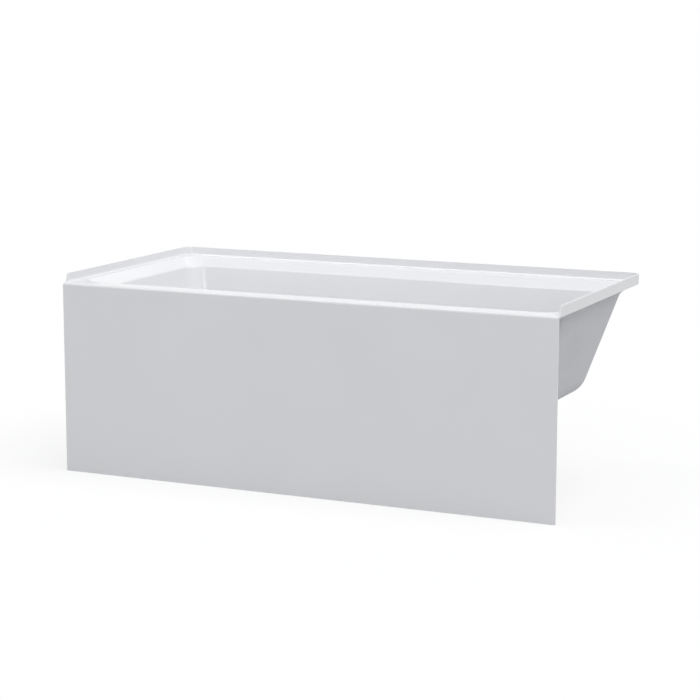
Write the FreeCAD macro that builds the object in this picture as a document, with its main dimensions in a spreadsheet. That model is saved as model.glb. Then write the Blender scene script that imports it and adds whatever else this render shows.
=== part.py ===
import FreeCAD, Part
import math
import os
import Sketcher
from FreeCAD import Placement, Rotation, Vector

# An alcove bathtub with its apron, its fibreglass backing, its cradle and its waste.
# Frame: X along the bath (the drain is at the -X end), Y from the apron to the back wall, Z up.
# The origin is on the floor, under the middle of the outer box. Lengths are in millimetres.

doc = FreeCAD.newDocument("alcove_bathtub")
sheet = doc.addObject("Spreadsheet::Sheet", "size")

DIMENSIONS = [
    # the outside
    ("overall_length", 1524.0, "over the two end flanges"),
    ("overall_depth", 736.6, "apron face to back of flange"),
    ("rim_height", 562.0, "floor to the top of the rim"),
    ("flange_rise", 25.0, "tile flange above the rim"),
    ("flange_wall", 5.0, "thickness of the tile flange"),
    ("flange_corner", 25.0, "plan radius of the flange's back corners"),
    ("flange_setback", 15.0, "apron face to the foot of the flange's front end"),
    ("flange_rake", 10.0, "how far the flange's front end leans back"),
    ("cove", 4.0, "sloping shoulder at the foot of the flange"),
    ("cut_overrun", 1.0, "how far a cut starts in front of the piece"),
    ("apron_edge", 8.0, "rounded edge between apron and rim"),
    ("sheet_wall", 5.0, "acrylic sheet"),
    # the sloping band round the well
    ("front_rim", 54.0, "flat rim from the apron face"),
    ("back_ledge", 20.0, "flat ledge at the foot of the back shoulder"),
    ("drain_ledge", 18.0, "flat ledge at the drain end"),
    ("lounge_ledge", 12.0, "flat ledge at the lounging end"),
    ("band_width", 36.0, "sloping band, seen from above"),
    ("lounge_band", 22.0, "sloping band at the lounging end"),
    ("band_drop", 26.0, "fall of the sloping band"),
    ("band_corner", 48.0, "plan radius of the band's corners"),
    ("band_edge", 8.0, "rounding of the band's edges"),
    # the well
    ("floor_height", 254.0, "inside floor at the drain"),
    ("floor_pitch", 0.3, "fall of the floor to the drain, degrees"),
    ("drain_draft", 6.0, "slope of the drain end wall, degrees"),
    ("lounge_draft", 17.3, "slope of the lounging end wall, degrees"),
    ("side_draft", 12.0, "slope of the long walls, degrees"),
    ("floor_corner", 75.0, "plan radius of the floor's corners"),
    ("floor_fillet", 66.0, "rounding between floor and walls"),
    ("laminate_wall", 6.0, "glass-fibre backing"),
    # the apron's stiffening
    ("apron_backing_wall", 3.0, "laminate on the back of the apron"),
    ("apron_backing_inset", 22.0, "backing to the apron's ends and foot"),
    ("batten_wall", 18.0, "battens behind the apron"),
    ("batten_width", 42.0, "width of the battens"),
    ("batten_inset", 60.0, "battens to the apron's ends"),
    ("foot_batten_lift", 12.0, "foot batten above the floor"),
    # the board and the cradle
    ("board_wall", 12.0, "plywood under the floor"),
    ("board_to_drain", 99.0, "end of the board to the middle of the drain"),
    ("board_depth", 340.0, "board across the bath"),
    ("steel_wall", 2.0, "folded steel of the cradle"),
    ("rail_overhang", 40.0, "long rails past each end of the board"),
    ("rail_width", 30.0, "long rails"),
    ("rail_height", 25.0, "long rails"),
    ("rail_spacing", 260.0, "between the long rails' middles"),
    ("bar_width", 40.0, "cross bars"),
    ("bar_height", 25.0, "cross bars"),
    ("bar_inset", 120.0, "cross bar's middle to the long rails' ends"),
    ("foot_spacing", 500.0, "between the feet of one bar"),
    ("bracket_wall", 3.0, "angle brackets to the apron's posts"),
    ("bracket_width", 30.0, "angle brackets"),
    ("bracket_leg", 60.0, "angle brackets"),
    ("bracket_screw_near", 27.0, "inner screws of a bracket from its bend"),
    ("bracket_screw_far", 48.0, "outer screws of a bracket from its bend"),
    ("screw_shank", 4.5, "wood screws, diameter"),
    ("screw_head", 9.0, "wood screws, diameter of the head"),
    ("screw_head_height", 2.6, "wood screws"),
    ("screw_head_bevel", 1.0, "wood screws, edge of the head"),
    ("screw_length", 11.0, "wood screws, under the head"),
    ("screw_point", 2.0, "wood screws, length of the point"),
    ("screw_clearance", 0.25, "holes in steel round a screw, radial"),
    ("board_screw_inset", 30.0, "outer board screws to the board's ends"),
    ("bar_overhang", 26.0, "cross bar past its back foot"),
    # the levelling feet
    ("rod_radius", 6.0, "threaded rod"),
    ("rod_reserve", 26.0, "rod above the cross bar"),
    ("thread_clearance", 0.05, "running fit of the rod, radial"),
    ("nut_flats", 19.0, "across the flats"),
    ("nut_height", 8.0, "weld nut and lock nut"),
    ("pad_radius", 30.0, "foot pad"),
    ("pad_rim", 6.0, "edge of the foot pad"),
    ("pad_neck_radius", 12.0, "neck round the rod"),
    ("pad_height", 24.0, "foot pad with its neck"),
    ("pad_floor", 5.0, "pad under the end of the rod"),
    ("pad_slope", 5.0, "rise of the pad's top to its neck"),
    ("hex_flats", 17.0, "hexagon on the rod, across the flats"),
    ("hex_height", 7.0, "hexagon on the rod"),
    ("end_play", 0.1, "rod in its pad, along the rod"),
    # the waste
    ("drain_distance", 120.0, "middle of the drain to the well's top edge at the drain end"),
    ("drain_recess", 42.0, "radius of the level seat in the floor"),
    ("drain_recess_depth", 1.5, "level seat in the floor"),
    ("drain_flange_radius", 38.0, "chrome flange"),
    ("drain_flange_wall", 3.0, "chrome flange"),
    ("drain_flange_edge", 1.0, "chrome flange at its rim"),
    ("drain_barrel_radius", 23.0, "threaded barrel under the flange"),
    ("drain_bore_radius", 19.5, "bore of the barrel"),
    ("drain_barrel_length", 34.0, "barrel under the level seat"),
    ("hole_clearance", 1.0, "holes in the bath round the barrel"),
    ("gasket_wall", 4.0, "rubber gaskets"),
    ("shoe_radius", 32.0, "waste elbow's flange under the gasket"),
    ("shoe_body_radius", 27.0, "waste elbow's cup"),
    ("shoe_depth", 56.0, "waste elbow below the gasket"),
    ("pipe_radius", 19.05, "waste and overflow tube, outside"),
    ("pipe_wall", 2.0, "waste and overflow tube"),
    ("socket_wall", 3.0, "sockets of the elbow and the tee"),
    ("socket_clearance", 0.3, "tube in its socket, radial"),
    ("socket_depth", 24.0, "tube in its socket"),
    ("socket_play", 1.0, "end of a tube to the bottom of its socket"),
    ("spigot_step", 0.2, "tail pipe's turned-down end, radial"),
    ("bore_step", 2.35, "bores of the elbow and the tee inside their sockets, radial"),
    ("slip_nut_wall", 5.0, "slip nuts over their socket"),
    ("slip_nut_height", 20.0, "slip nuts"),
    ("slip_nut_lip", 3.0, "lip of a slip nut round the tube"),
    ("shoe_reach", 62.0, "waste elbow's outlet from the middle of the drain"),
    ("shoe_outlet_drop", 30.0, "outlet's middle below the top of the waste elbow"),
    ("tee_reach", 45.0, "tee's middle to each of its three ends"),
    ("standpipe_distance", 34.0, "tube's middle to the well's top edge at the drain end"),
    ("outlet_height", 70.0, "open end of the tail pipe above the floor"),
    # the overflow
    ("overflow_drop", 100.0, "rim to the middle of the overflow"),
    ("overflow_hole", 27.0, "radius of the hole in the wall"),
    ("overflow_plate_radius", 37.0, "cover plate"),
    ("overflow_plate_rise", 9.0, "cover plate off the wall"),
    ("overflow_plate_wall", 1.5, "cover plate"),
    ("overflow_plate_bevel", 5.4, "sloping edge of the cover plate"),
    ("overflow_slot_width", 29.6, "slot under the cover plate"),
    ("overflow_slot_height", 3.0, "slot under the cover plate"),
    ("overflow_slot_depth", 11.1, "slot under the cover plate, from its edge"),
    ("overflow_screw_offset", 21.0, "fixing screws to the middle"),
    ("overflow_screw_radius", 2.0, "fixing screws"),
    ("overflow_screw_head", 4.0, "fixing screws, radius of the head"),
    ("overflow_screw_crown", 2.8, "fixing screws, radius of the head's flat top"),
    ("overflow_flange_wall", 4.0, "elbow's flange behind the gasket"),
    ("overflow_neck_radius", 18.0, "elbow between its flange and its upright part"),
    # the stopper
    ("stopper_radius", 27.0, "stopper cap"),
    ("stopper_wall", 4.0, "stopper cap at its edge"),
    ("stopper_dome", 3.0, "rise of the cap's crown"),
    ("seal_wall", 2.0, "rubber seal under the cap"),
    ("seat_gap", 0.3, "closed seal above the flange"),
    ("cross_depth", 17.0, "top of the barrel's cross under the level seat"),
    ("cross_wall", 4.0, "arms of the cross"),
    ("cross_height", 6.0, "arms of the cross"),
    ("post_radius", 4.0, "post in the stopper's sleeve"),
    ("sleeve_radius", 6.5, "sleeve under the cap"),
    ("running_clearance", 0.05, "sleeve on its post, radial"),
    ("sleeve_end_gap", 1.0, "closed sleeve above the cross"),
    ("seal_inset", 1.0, "seal inside the cap's edge"),
    ("stopper_lift", 9.5, "travel of the stopper"),
]
for row, (alias, number, note) in enumerate(DIMENSIONS, 1):
    sheet.set(f"A{row}", alias)
    sheet.set(f"B{row}", str(number))
    sheet.set(f"C{row}", note)
    sheet.setAlias(f"B{row}", alias)
doc.recompute()


class Size:
    """A length worked out from the sheet: its number today, and the formula that binds it."""

    def __init__(self, number, formula):
        self.number = float(number)
        self.formula = formula

    @staticmethod
    def of(value):
        return value if isinstance(value, Size) else Size(value, repr(float(value)))

    def joined(self, other, sign, number):
        return Size(number, f"({self.formula} {sign} {other.formula})")

    def __add__(self, other):
        other = Size.of(other)
        return self.joined(other, "+", self.number + other.number)

    def __sub__(self, other):
        other = Size.of(other)
        return self.joined(other, "-", self.number - other.number)

    def __mul__(self, other):
        other = Size.of(other)
        return self.joined(other, "*", self.number * other.number)

    def __truediv__(self, other):
        other = Size.of(other)
        return self.joined(other, "/", self.number / other.number)

    def __neg__(self):
        return Size.of(0) - self

    def __rsub__(self, other):
        return Size.of(other) - self

    __radd__ = __add__
    __rmul__ = __mul__


def size(alias):
    return Size(sheet.get(alias), f"size.{alias}")


def tangent(angle):
    return Size(math.tan(math.radians(angle.number)), f"tan({angle.formula})")


def cosine(angle):
    return Size(math.cos(math.radians(angle.number)), f"cos({angle.formula})")


def bind(target, **places):
    """Binds properties; a double underscore in a name stands for the dot of a sub-property."""
    for path, value in places.items():
        value = Size.of(value)
        target.setExpression(path.replace("__", "."), value.formula)


def place(target, x=0, y=0, z=0):
    bind(target, Placement__Base__x=x, Placement__Base__y=y, Placement__Base__z=z)


# --- sketches and features -------------------------------------------------------------------


def new_body(name):
    body = doc.addObject("PartDesign::Body", name)
    body.Label = name
    body.AllowCompound = True
    return body


def new_sketch(body, name, role, lift=0):
    """An empty sketch on one of the body's own origin planes, lifted along its normal."""
    sketch = body.newObject("Sketcher::SketchObject", f"{body.Name}_{name}")
    plane = next(each for each in body.Origin.OriginFeatures if each.Role == role)
    sketch.AttachmentSupport = [(plane, "")]
    sketch.MapMode = "FlatFace"
    bind(sketch, AttachmentOffset__Base__z=lift)
    return sketch


def pin_point(sketch, geometry, end, x, y):
    """Holds one end of a sketch element at x, y from the sketch's origin."""
    for axis, value in (("DistanceX", Size.of(x)), ("DistanceY", Size.of(y))):
        index = sketch.addConstraint(Sketcher.Constraint(axis, -1, 1, geometry, end, value.number))
        sketch.setExpression(f"Constraints[{index}]", value.formula)


def draw_outline(sketch, points):
    """A closed outline of straight edges through the given points."""
    points = [(Size.of(x), Size.of(y)) for x, y in points]
    corners = [Vector(x.number, y.number, 0) for x, y in points]
    first = sketch.GeometryCount
    for start, end in zip(corners, corners[1:] + corners[:1]):
        sketch.addGeometry(Part.LineSegment(start, end))
    count = len(points)
    for step, (x, y) in enumerate(points):
        line = first + step
        sketch.addConstraint(Sketcher.Constraint("Coincident", line, 2, first + (step + 1) % count, 1))
        pin_point(sketch, line, 1, x, y)


def draw_circle(sketch, x, y, radius):
    x, y, radius = Size.of(x), Size.of(y), Size.of(radius)
    circle = sketch.addGeometry(Part.Circle(Vector(x.number, y.number, 0), Vector(0, 0, 1), radius.number))
    pin_point(sketch, circle, 3, x, y)
    index = sketch.addConstraint(Sketcher.Constraint("Radius", circle, radius.number))
    sketch.setExpression(f"Constraints[{index}]", radius.formula)


def draw_rounded(sketch, left, right, front, back, radius):
    """A rectangle with round corners, given by how far it reaches each way from the origin."""
    r = radius.number
    west, east, south, north = -left.number, right.number, -front.number, back.number
    centres = [(east - r, south + r), (east - r, north - r), (west + r, north - r), (west + r, south + r)]
    corners = []
    sides = []
    for turn, (x, y) in enumerate(centres):
        start = (turn - 1) * math.pi / 2
        circle = Part.Circle(Vector(x, y, 0), Vector(0, 0, 1), r)
        corners.append(sketch.addGeometry(Part.ArcOfCircle(circle, start, start + math.pi / 2)))
    for turn in range(4):
        here = sketch.Geometry[corners[turn]].EndPoint
        there = sketch.Geometry[corners[(turn + 1) % 4]].StartPoint
        sides.append(sketch.addGeometry(Part.LineSegment(here, there)))
    for turn in range(4):
        sketch.addConstraint(Sketcher.Constraint("Tangent", corners[turn], 2, sides[turn], 1))
        sketch.addConstraint(Sketcher.Constraint("Tangent", sides[turn], 2, corners[(turn + 1) % 4], 1))
    for turn in (1, 2, 3):
        sketch.addConstraint(Sketcher.Constraint("Equal", corners[0], corners[turn]))
    sketch.addConstraint(Sketcher.Constraint("Vertical", sides[0]))
    sketch.addConstraint(Sketcher.Constraint("Horizontal", sides[1]))
    sketch.addConstraint(Sketcher.Constraint("Vertical", sides[2]))
    sketch.addConstraint(Sketcher.Constraint("Horizontal", sides[3]))
    index = sketch.addConstraint(Sketcher.Constraint("Radius", corners[0], r))
    sketch.setExpression(f"Constraints[{index}]", radius.formula)
    reaches = (("DistanceX", sides[0], right), ("DistanceY", sides[1], back))
    reaches += (("DistanceX", sides[2], -left), ("DistanceY", sides[3], -front))
    for axis, side, reach in reaches:
        index = sketch.addConstraint(Sketcher.Constraint(axis, -1, 1, side, 1, reach.number))
        sketch.setExpression(f"Constraints[{index}]", reach.formula)


def pad(body, sketch, length):
    feature = body.newObject("PartDesign::Pad", f"{sketch.Name}_pad")
    feature.Profile = sketch
    bind(feature, Length=length)
    return feature


def pocket(body, sketch, length, reverse=False):
    """A pocket that runs against the sketch's normal, or along it when reversed."""
    doc.recompute()
    before = body.Shape.Volume
    feature = body.newObject("PartDesign::Pocket", f"{sketch.Name}_pocket")
    feature.Profile = sketch
    feature.Reversed = reverse
    bind(feature, Length=length)
    doc.recompute()
    if body.Shape.Volume >= before:
        raise ValueError(f"{feature.Name} cuts nothing")
    return feature


def loft(body, kind, sections):
    feature = body.newObject(f"PartDesign::{kind}Loft", f"{sections[0].Name}_loft")
    feature.Profile = sections[0]
    feature.Sections = sections[1:]
    feature.Ruled = True
    return feature


def revolve(body, sketch):
    feature = body.newObject("PartDesign::Revolution", f"{sketch.Name}_turn")
    feature.Profile = sketch
    feature.ReferenceAxis = (sketch, ["V_Axis"])
    feature.Angle = 360
    return feature


def fillet(body, name, radius, chosen):
    """Rounds the edges of the body's present shape that the test picks out."""
    doc.recompute()
    base = body.Tip
    names = [f"Edge{number}" for number, edge in enumerate(base.Shape.Edges, 1) if chosen(edge)]
    if not names:
        raise ValueError(f"{body.Name} has no edge for {name}")
    feature = body.newObject("PartDesign::Fillet", f"{body.Name}_{name}")
    feature.Base = (base, names)
    bind(feature, Radius=radius)
    doc.recompute()
    return feature


def flat_edges(height, reach):
    """A test for edges at one height that keep within an outline's reach."""
    low = Vector(-reach["left"].number, -reach["front"].number, height.number)
    high = Vector(reach["right"].number, reach["back"].number, height.number)
    slack = Vector(0.05, 0.05, 0.05)
    allowed = FreeCAD.BoundBox(low - slack, high + slack)
    return lambda edge: all(allowed.isInside(end.Point) for end in edge.Vertexes)


# --- plain solids ----------------------------------------------------------------------------


def block(name, x, y, z):
    """A box from three (low, high) pairs."""
    solid = doc.addObject("Part::Box", name)
    solid.Label = name
    for side, (low, high) in (("Length", x), ("Width", y), ("Height", z)):
        bind(solid, **{side: Size.of(high) - low})
    place(solid, x[0], y[0], z[0])
    return solid


def cylinder(name, radius, height, x=0, y=0, z=0):
    solid = doc.addObject("Part::Cylinder", name)
    solid.Label = name
    bind(solid, Radius=radius, Height=height)
    place(solid, x, y, z)
    return solid


def lay_along(solid, direction):
    """Turns an upright solid about its own origin, to lie along X, -X, Y or -Y."""
    turns = {"+X": (Vector(0, 1, 0), 90), "-X": (Vector(0, 1, 0), -90)}
    turns |= {"-Y": (Vector(1, 0, 0), 90), "+Y": (Vector(1, 0, 0), -90), "-Z": (Vector(1, 0, 0), 180)}
    solid.Placement = Placement(solid.Placement.Base, Rotation(*turns[direction]))
    return solid


def fuse(name, *solids):
    joined = doc.addObject("Part::MultiFuse", name)
    joined.Label = name
    joined.Shapes = list(solids)
    return joined


def cut(name, base, *tools):
    tool = tools[0] if len(tools) == 1 else fuse(f"{name}_tools", *tools)
    result = doc.addObject("Part::Cut", name)
    result.Label = name
    result.Base = base
    result.Tool = tool
    return result


def group(name, solids):
    """Like pieces that share one node, each a solid of its own."""
    several = doc.addObject("Part::Compound", name)
    several.Label = name
    several.Links = list(solids)
    return several


def turned(name, profile, x=0, y=0, z=0):
    """A turned piece: a closed (radius, height) profile revolved about its own upright axis."""
    body = new_body(name)
    sketch = new_sketch(body, "profile", "XZ_Plane")
    draw_outline(sketch, profile)
    revolve(body, sketch)
    place(body, x, y, z)
    return body


def ring(name, inner, outer, height, x=0, y=0, z=0):
    return turned(name, [(inner, 0), (outer, 0), (outer, height), (inner, height)], x, y, z)


# --- places that several pieces share --------------------------------------------------------

end = size("overall_length") / 2
face = size("overall_depth") / 2
rim = size("rim_height")
flange_top = rim + size("flange_rise")
sheet_wall = size("sheet_wall")
deck_underside = rim - sheet_wall
skin = sheet_wall + size("laminate_wall")
cut_through = skin * 3

flange_foot = size("flange_wall") + size("cove")
UPPER = {  # the band's upper edge: how far it reaches each way from the origin
    "left": end - flange_foot - size("drain_ledge"),
    "right": end - flange_foot - size("lounge_ledge"),
    "front": face - size("front_rim"),
    "back": face - flange_foot - size("back_ledge"),
}
LOWER = {  # the band's lower edge, which is the well's top edge
    "left": UPPER["left"] - size("band_width"),
    "right": UPPER["right"] - size("lounge_band"),
    "front": UPPER["front"] - size("band_width"),
    "back": UPPER["back"] - size("band_width"),
}
DRAFT = {
    "left": size("drain_draft"),
    "right": size("lounge_draft"),
    "front": size("side_draft"),
    "back": size("side_draft"),
}
well_top = rim - size("band_drop")
floor_height = size("floor_height")
middle = (LOWER["back"] - LOWER["front"]) / 2
drain_x = size("drain_distance") - LOWER["left"]
floor_middle = floor_height - drain_x * tangent(size("floor_pitch"))

underside = floor_height - skin
board_bottom = underside - size("board_wall")
bar_top = board_bottom - size("rail_height")
bar_bottom = bar_top - size("bar_height")

backing_back = -face + sheet_wall + size("apron_backing_wall")
post_back = backing_back + size("batten_wall")
board_reach = -drain_x - size("board_to_drain")
rail_reach = board_reach + size("rail_overhang")
bar_x = rail_reach - size("bar_inset")
foot_front = middle - size("foot_spacing") / 2
foot_back = middle + size("foot_spacing") / 2

drain_seat = floor_height - size("drain_recess_depth")
shoe_top = underside - size("gasket_wall")
waste_z = shoe_top - size("shoe_outlet_drop")
shoe_end = drain_x - size("shoe_reach")
pipe_x = -LOWER["left"] - size("standpipe_distance")
socket_inner = size("pipe_radius") + size("socket_clearance")
socket_outer = socket_inner + size("socket_wall")
tube_bore = socket_inner - size("bore_step")

overflow_z = rim - size("overflow_drop")
overflow_x = (well_top - overflow_z) * tangent(DRAFT["left"]) - LOWER["left"]
elbow_top = overflow_z + socket_outer
elbow_bottom = overflow_z - size("overflow_plate_radius") - size("slip_nut_height")


# --- the bath --------------------------------------------------------------------------------


def wall_reach(wall, lift):
    """How far the well's walls reach at one height, on a face that lies one wall outside the inside."""
    depth = well_top - lift
    return {side: LOWER[side] + wall / cosine(DRAFT[side]) - depth * tangent(DRAFT[side]) for side in LOWER}


def floor_sketch(body, name, wall, level):
    """The outline where a well's face meets its floor, which falls a little to the drain."""
    lift = underside if level else floor_middle - wall
    sketch = new_sketch(body, name, "XY_Plane", lift)
    if not level:
        sketch.AttachmentOffset = Placement(sketch.AttachmentOffset.Base, Rotation(Vector(0, 1, 0), -1))
        bind(sketch, AttachmentOffset__Rotation__Angle=-size("floor_pitch"))
    draw_rounded(sketch, **wall_reach(wall, lift), radius=size("floor_corner") + wall)
    return sketch


def well_lofts(body, kind, name, wall, start=None, level=False):
    """The band and the well as two lofts, for a face that lies one wall outside the bath's inside.

    Under the band that face lies straight below, and at the walls it lies straight outside.
    """
    sections = []
    if start is not None:
        sections.append(new_sketch(body, f"{name}_start", "XY_Plane", start))
        draw_rounded(sections[0], **UPPER, radius=size("band_corner"))
    for edge, reach, lift in (("upper", UPPER, rim), ("lower", LOWER, well_top)):
        sections.append(new_sketch(body, f"{name}_{edge}", "XY_Plane", lift - wall))
        draw_rounded(sections[-1], **reach, radius=size("band_corner"))
    loft(body, kind, sections)
    top = new_sketch(body, f"{name}_top", "XY_Plane", well_top + wall)
    draw_rounded(top, **wall_reach(wall, well_top + wall), radius=size("band_corner") + wall)
    loft(body, kind, [top, floor_sketch(body, f"{name}_bottom", wall, level)])


def floor_edges(wall, level=False):
    """A test for the edges round a well's floor."""
    lift = (underside if level else floor_middle - wall).number
    pitch = 0 if level else tangent(size("floor_pitch")).number
    return lambda edge: all(abs(end.Z - lift - end.X * pitch) < 0.05 for end in edge.Vertexes)


def build_tub_shell():
    """One formed sheet: apron, rim, tile flange, sloping band and well."""
    body = new_body("tub_shell")
    deck = new_sketch(body, "deck", "XY_Plane", deck_underside)
    draw_outline(deck, [(-end, -face), (end, -face), (end, face), (-end, face)])
    pad(body, deck, size("flange_rise") + sheet_wall)
    fillet(body, "corners", size("flange_corner"), lambda edge: edge.BoundBox.YMin > face.number - 0.01
           and edge.BoundBox.ZLength > 1)
    apron = new_sketch(body, "apron", "XY_Plane")
    draw_outline(apron, [(-end, -face), (end, -face), (end, -face + sheet_wall), (-end, -face + sheet_wall)])
    pad(body, apron, rim)
    well_lofts(body, "Additive", "outside", sheet_wall)

    # the rim inside the flange, with its sloping shoulder
    past_front = face + size("flange_corner") + size("cut_overrun")
    radius = size("flange_corner") - size("flange_wall")
    inset = end - size("flange_wall")
    inside = new_sketch(body, "flange_inside", "XY_Plane", flange_top)
    draw_rounded(inside, inset, inset, past_front, face - size("flange_wall"), radius)
    pocket(body, inside, size("flange_rise") - size("cove"))
    high = new_sketch(body, "cove_high", "XY_Plane", rim + size("cove"))
    draw_rounded(high, inset, inset, past_front, face - size("flange_wall"), radius)
    low = new_sketch(body, "cove_low", "XY_Plane", rim)
    draw_rounded(low, end - flange_foot, end - flange_foot, past_front, face - flange_foot, radius)
    loft(body, "Subtractive", [high, low])

    # the flange's raked front ends
    rake = new_sketch(body, "rake", "YZ_Plane", -end)
    foot = -face + size("flange_setback")
    before = -face - size("cut_overrun")
    draw_outline(rake, [(before, rim), (foot, rim), (foot + size("flange_rake"), flange_top),
                        (before, flange_top)])
    pocket(body, rake, end * 2, reverse=True)

    # the inside of the band and the well, and the roundings from the inside out
    inner = Size.of(0)
    well_lofts(body, "Subtractive", "inside", inner)
    fillet(body, "inside_fillet", size("floor_fillet"), floor_edges(inner))
    fillet(body, "outside_fillet", size("floor_fillet") + sheet_wall, floor_edges(sheet_wall))
    fillet(body, "lower_edge", size("band_edge"), flat_edges(well_top, LOWER))
    fillet(body, "upper_edge", size("band_edge"), flat_edges(rim, UPPER))
    front_edge = {"left": end, "right": end, "front": face, "back": -face}
    fillet(body, "apron_edge", size("apron_edge"), flat_edges(rim, front_edge))
    return body


def drill_waste_holes(body, from_height):
    """The drain hole straight down through the floor and the overflow hole through the end wall."""
    drain = new_sketch(body, "drain_hole", "XY_Plane", from_height)
    draw_circle(drain, drain_x, middle, size("drain_barrel_radius") + size("hole_clearance"))
    pocket(body, drain, cut_through)
    overflow = new_sketch(body, "overflow_hole", "YZ_Plane", overflow_x + skin)
    draw_circle(overflow, middle, overflow_z, size("overflow_hole"))
    pocket(body, overflow, cut_through)


def finish_tub_shell(body):
    """The level seat of the drain's flange, pressed into the floor, and the two holes."""
    seat = new_sketch(body, "drain_seat", "XY_Plane", drain_seat + skin)
    draw_circle(seat, drain_x, middle, size("drain_recess"))
    pocket(body, seat, skin)
    drill_waste_holes(body, drain_seat)
    return body


def build_laminate():
    """Glass-fibre backing under the band and round the well, laid level under the floor."""
    body = new_body("basin_laminate")
    well_lofts(body, "Additive", "outside", skin, start=deck_underside, level=True)
    well_lofts(body, "Subtractive", "inside", sheet_wall)
    fillet(body, "inside_fillet", size("floor_fillet") + sheet_wall, floor_edges(sheet_wall))
    fillet(body, "outside_fillet", size("floor_fillet") + skin, floor_edges(skin, level=True))
    drill_waste_holes(body, drain_seat)
    return body


# --- the apron's stiffening ------------------------------------------------------------------


def build_apron_stiffening():
    """A laminate sheet, a batten under the rim, one at the foot and three posts between them."""
    inset = size("apron_backing_inset")
    side = end - size("batten_inset")
    width = size("batten_width")
    thick = (backing_back, post_back)
    rim_batten_bottom = deck_underside - size("batten_wall")
    foot_batten_top = size("foot_batten_lift") + width
    parts = [
        block("apron_backing", (inset - end, end - inset), (-face + sheet_wall, backing_back),
              (inset, deck_underside)),
        block("rim_batten", (-side, side), (backing_back, backing_back + width),
              (rim_batten_bottom, deck_underside)),
        block("foot_batten", (-side, side), thick, (size("foot_batten_lift"), foot_batten_top)),
    ]
    for name, x in (("left", -bar_x), ("middle", Size.of(0)), ("right", bar_x)):
        parts.append(block(f"apron_post_{name}", (x - width / 2, x + width / 2), thick,
                           (foot_batten_top, rim_batten_bottom)))
    return parts


# --- the cradle ------------------------------------------------------------------------------


def channel(name, x, y, z, along_x):
    """A folded channel, open downwards, with its web on top."""
    wall = size("steel_wall")
    if along_x:
        hollow = (x, (y[0] + wall, y[1] - wall), (z[0], z[1] - wall))
    else:
        hollow = ((x[0] + wall, x[1] - wall), y, (z[0], z[1] - wall))
    return cut(f"{name}_fold", block(f"{name}_outside", x, y, z), block(f"{name}_inside", *hollow))


def wood_screw(name, x, y, z, direction="-Z"):
    """A pan-head screw whose head rests on the point given and whose shank runs along the direction."""
    head = size("screw_head_height")
    outer = size("screw_head") / 2
    shank = size("screw_shank") / 2
    tip = size("screw_length")
    screw = turned(name, [(0, -head), (outer - size("screw_head_bevel"), -head), (outer, 0), (shank, 0),
                          (shank, tip - size("screw_point")), (0, tip)], x, y, z)
    return screw if direction == "+Z" else lay_along(screw, direction)


def build_cradle():
    """The board, two long rails under it, and two cross bars that carry the feet."""
    board = block("base_board", (-board_reach, board_reach),
                  (middle - size("board_depth") / 2, middle + size("board_depth") / 2),
                  (board_bottom, underside))
    parts = [board]
    shank = size("screw_shank") / 2 + size("screw_clearance")
    board_screws = []
    for name, side in (("front", -1), ("back", 1)):
        y = middle + side * size("rail_spacing") / 2
        half = size("rail_width") / 2
        fold = channel(f"rail_{name}", (-rail_reach, rail_reach), (y - half, y + half),
                       (bar_top, board_bottom), True)
        holes = []
        outer = board_reach - size("board_screw_inset")
        for number, x in enumerate((-outer, -outer / 3, outer / 3, outer)):
            holes.append(cylinder(f"rail_{name}_hole_{number}", shank, size("rail_height"), x, y, bar_top))
            board_screws.append(wood_screw(f"board_screw_{name}_{number}", x, y,
                                           board_bottom - size("steel_wall"), "+Z"))
        parts.append(cut(f"rail_{name}", fold, *holes))
    parts.append(group("board_screws", board_screws))

    bracket_screws = []
    post_screws = []
    for name, x in (("left", -bar_x), ("right", bar_x)):
        half = size("bar_width") / 2
        fold = channel(f"cross_bar_{name}", (x - half, x + half),
                       (post_back, foot_back + size("bar_overhang")), (bar_bottom, bar_top), False)
        holes = [cylinder(f"cross_bar_{name}_hole_{number}", size("rod_radius") + size("hole_clearance"),
                          size("bar_height"), x, y, bar_bottom)
                 for number, y in enumerate((foot_front, foot_back))]
        leg = size("bracket_leg")
        wall = size("bracket_wall")
        half = size("bracket_width") / 2
        flat = block(f"bracket_{name}_flat", (x - half, x + half), (post_back, post_back + leg),
                     (bar_top, bar_top + wall))
        upright = block(f"bracket_{name}_upright", (x - half, x + half), (post_back, post_back + wall),
                        (bar_top, bar_top + leg))
        bracket_holes = []
        for number, away in enumerate((size("bracket_screw_near"), size("bracket_screw_far"))):
            y = post_back + away
            z = bar_top + away
            bracket_holes.append(cylinder(f"bracket_{name}_down_{number}", shank, wall, x, y, bar_top))
            bracket_holes.append(lay_along(cylinder(f"bracket_{name}_out_{number}", shank, wall,
                                                    x, post_back + wall, z), "-Y"))
            holes.append(cylinder(f"cross_bar_{name}_screw_{number}", shank, size("bar_height"),
                                  x, y, bar_bottom))
            bracket_screws.append(wood_screw(f"bar_screw_{name}_{number}", x, y, bar_top + wall))
            post_screws.append(wood_screw(f"post_screw_{name}_{number}", x, post_back + wall, z, "-Y"))
        parts.append(cut(f"cross_bar_{name}", fold, *holes))
        parts.append(cut(f"apron_bracket_{name}", fuse(f"bracket_{name}_bend", flat, upright),
                         *bracket_holes))
    parts.append(group("bar_screws", bracket_screws))
    parts.append(group("post_screws", post_screws))
    return parts


# --- the levelling feet ----------------------------------------------------------------------


def hexagon(name, flats, height, x, y, z):
    solid = doc.addObject("Part::Prism", name)
    solid.Label = name
    solid.Polygon = 6
    bind(solid, Circumradius=flats / math.sqrt(3), Height=height)
    place(solid, x, y, z)
    return solid


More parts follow.
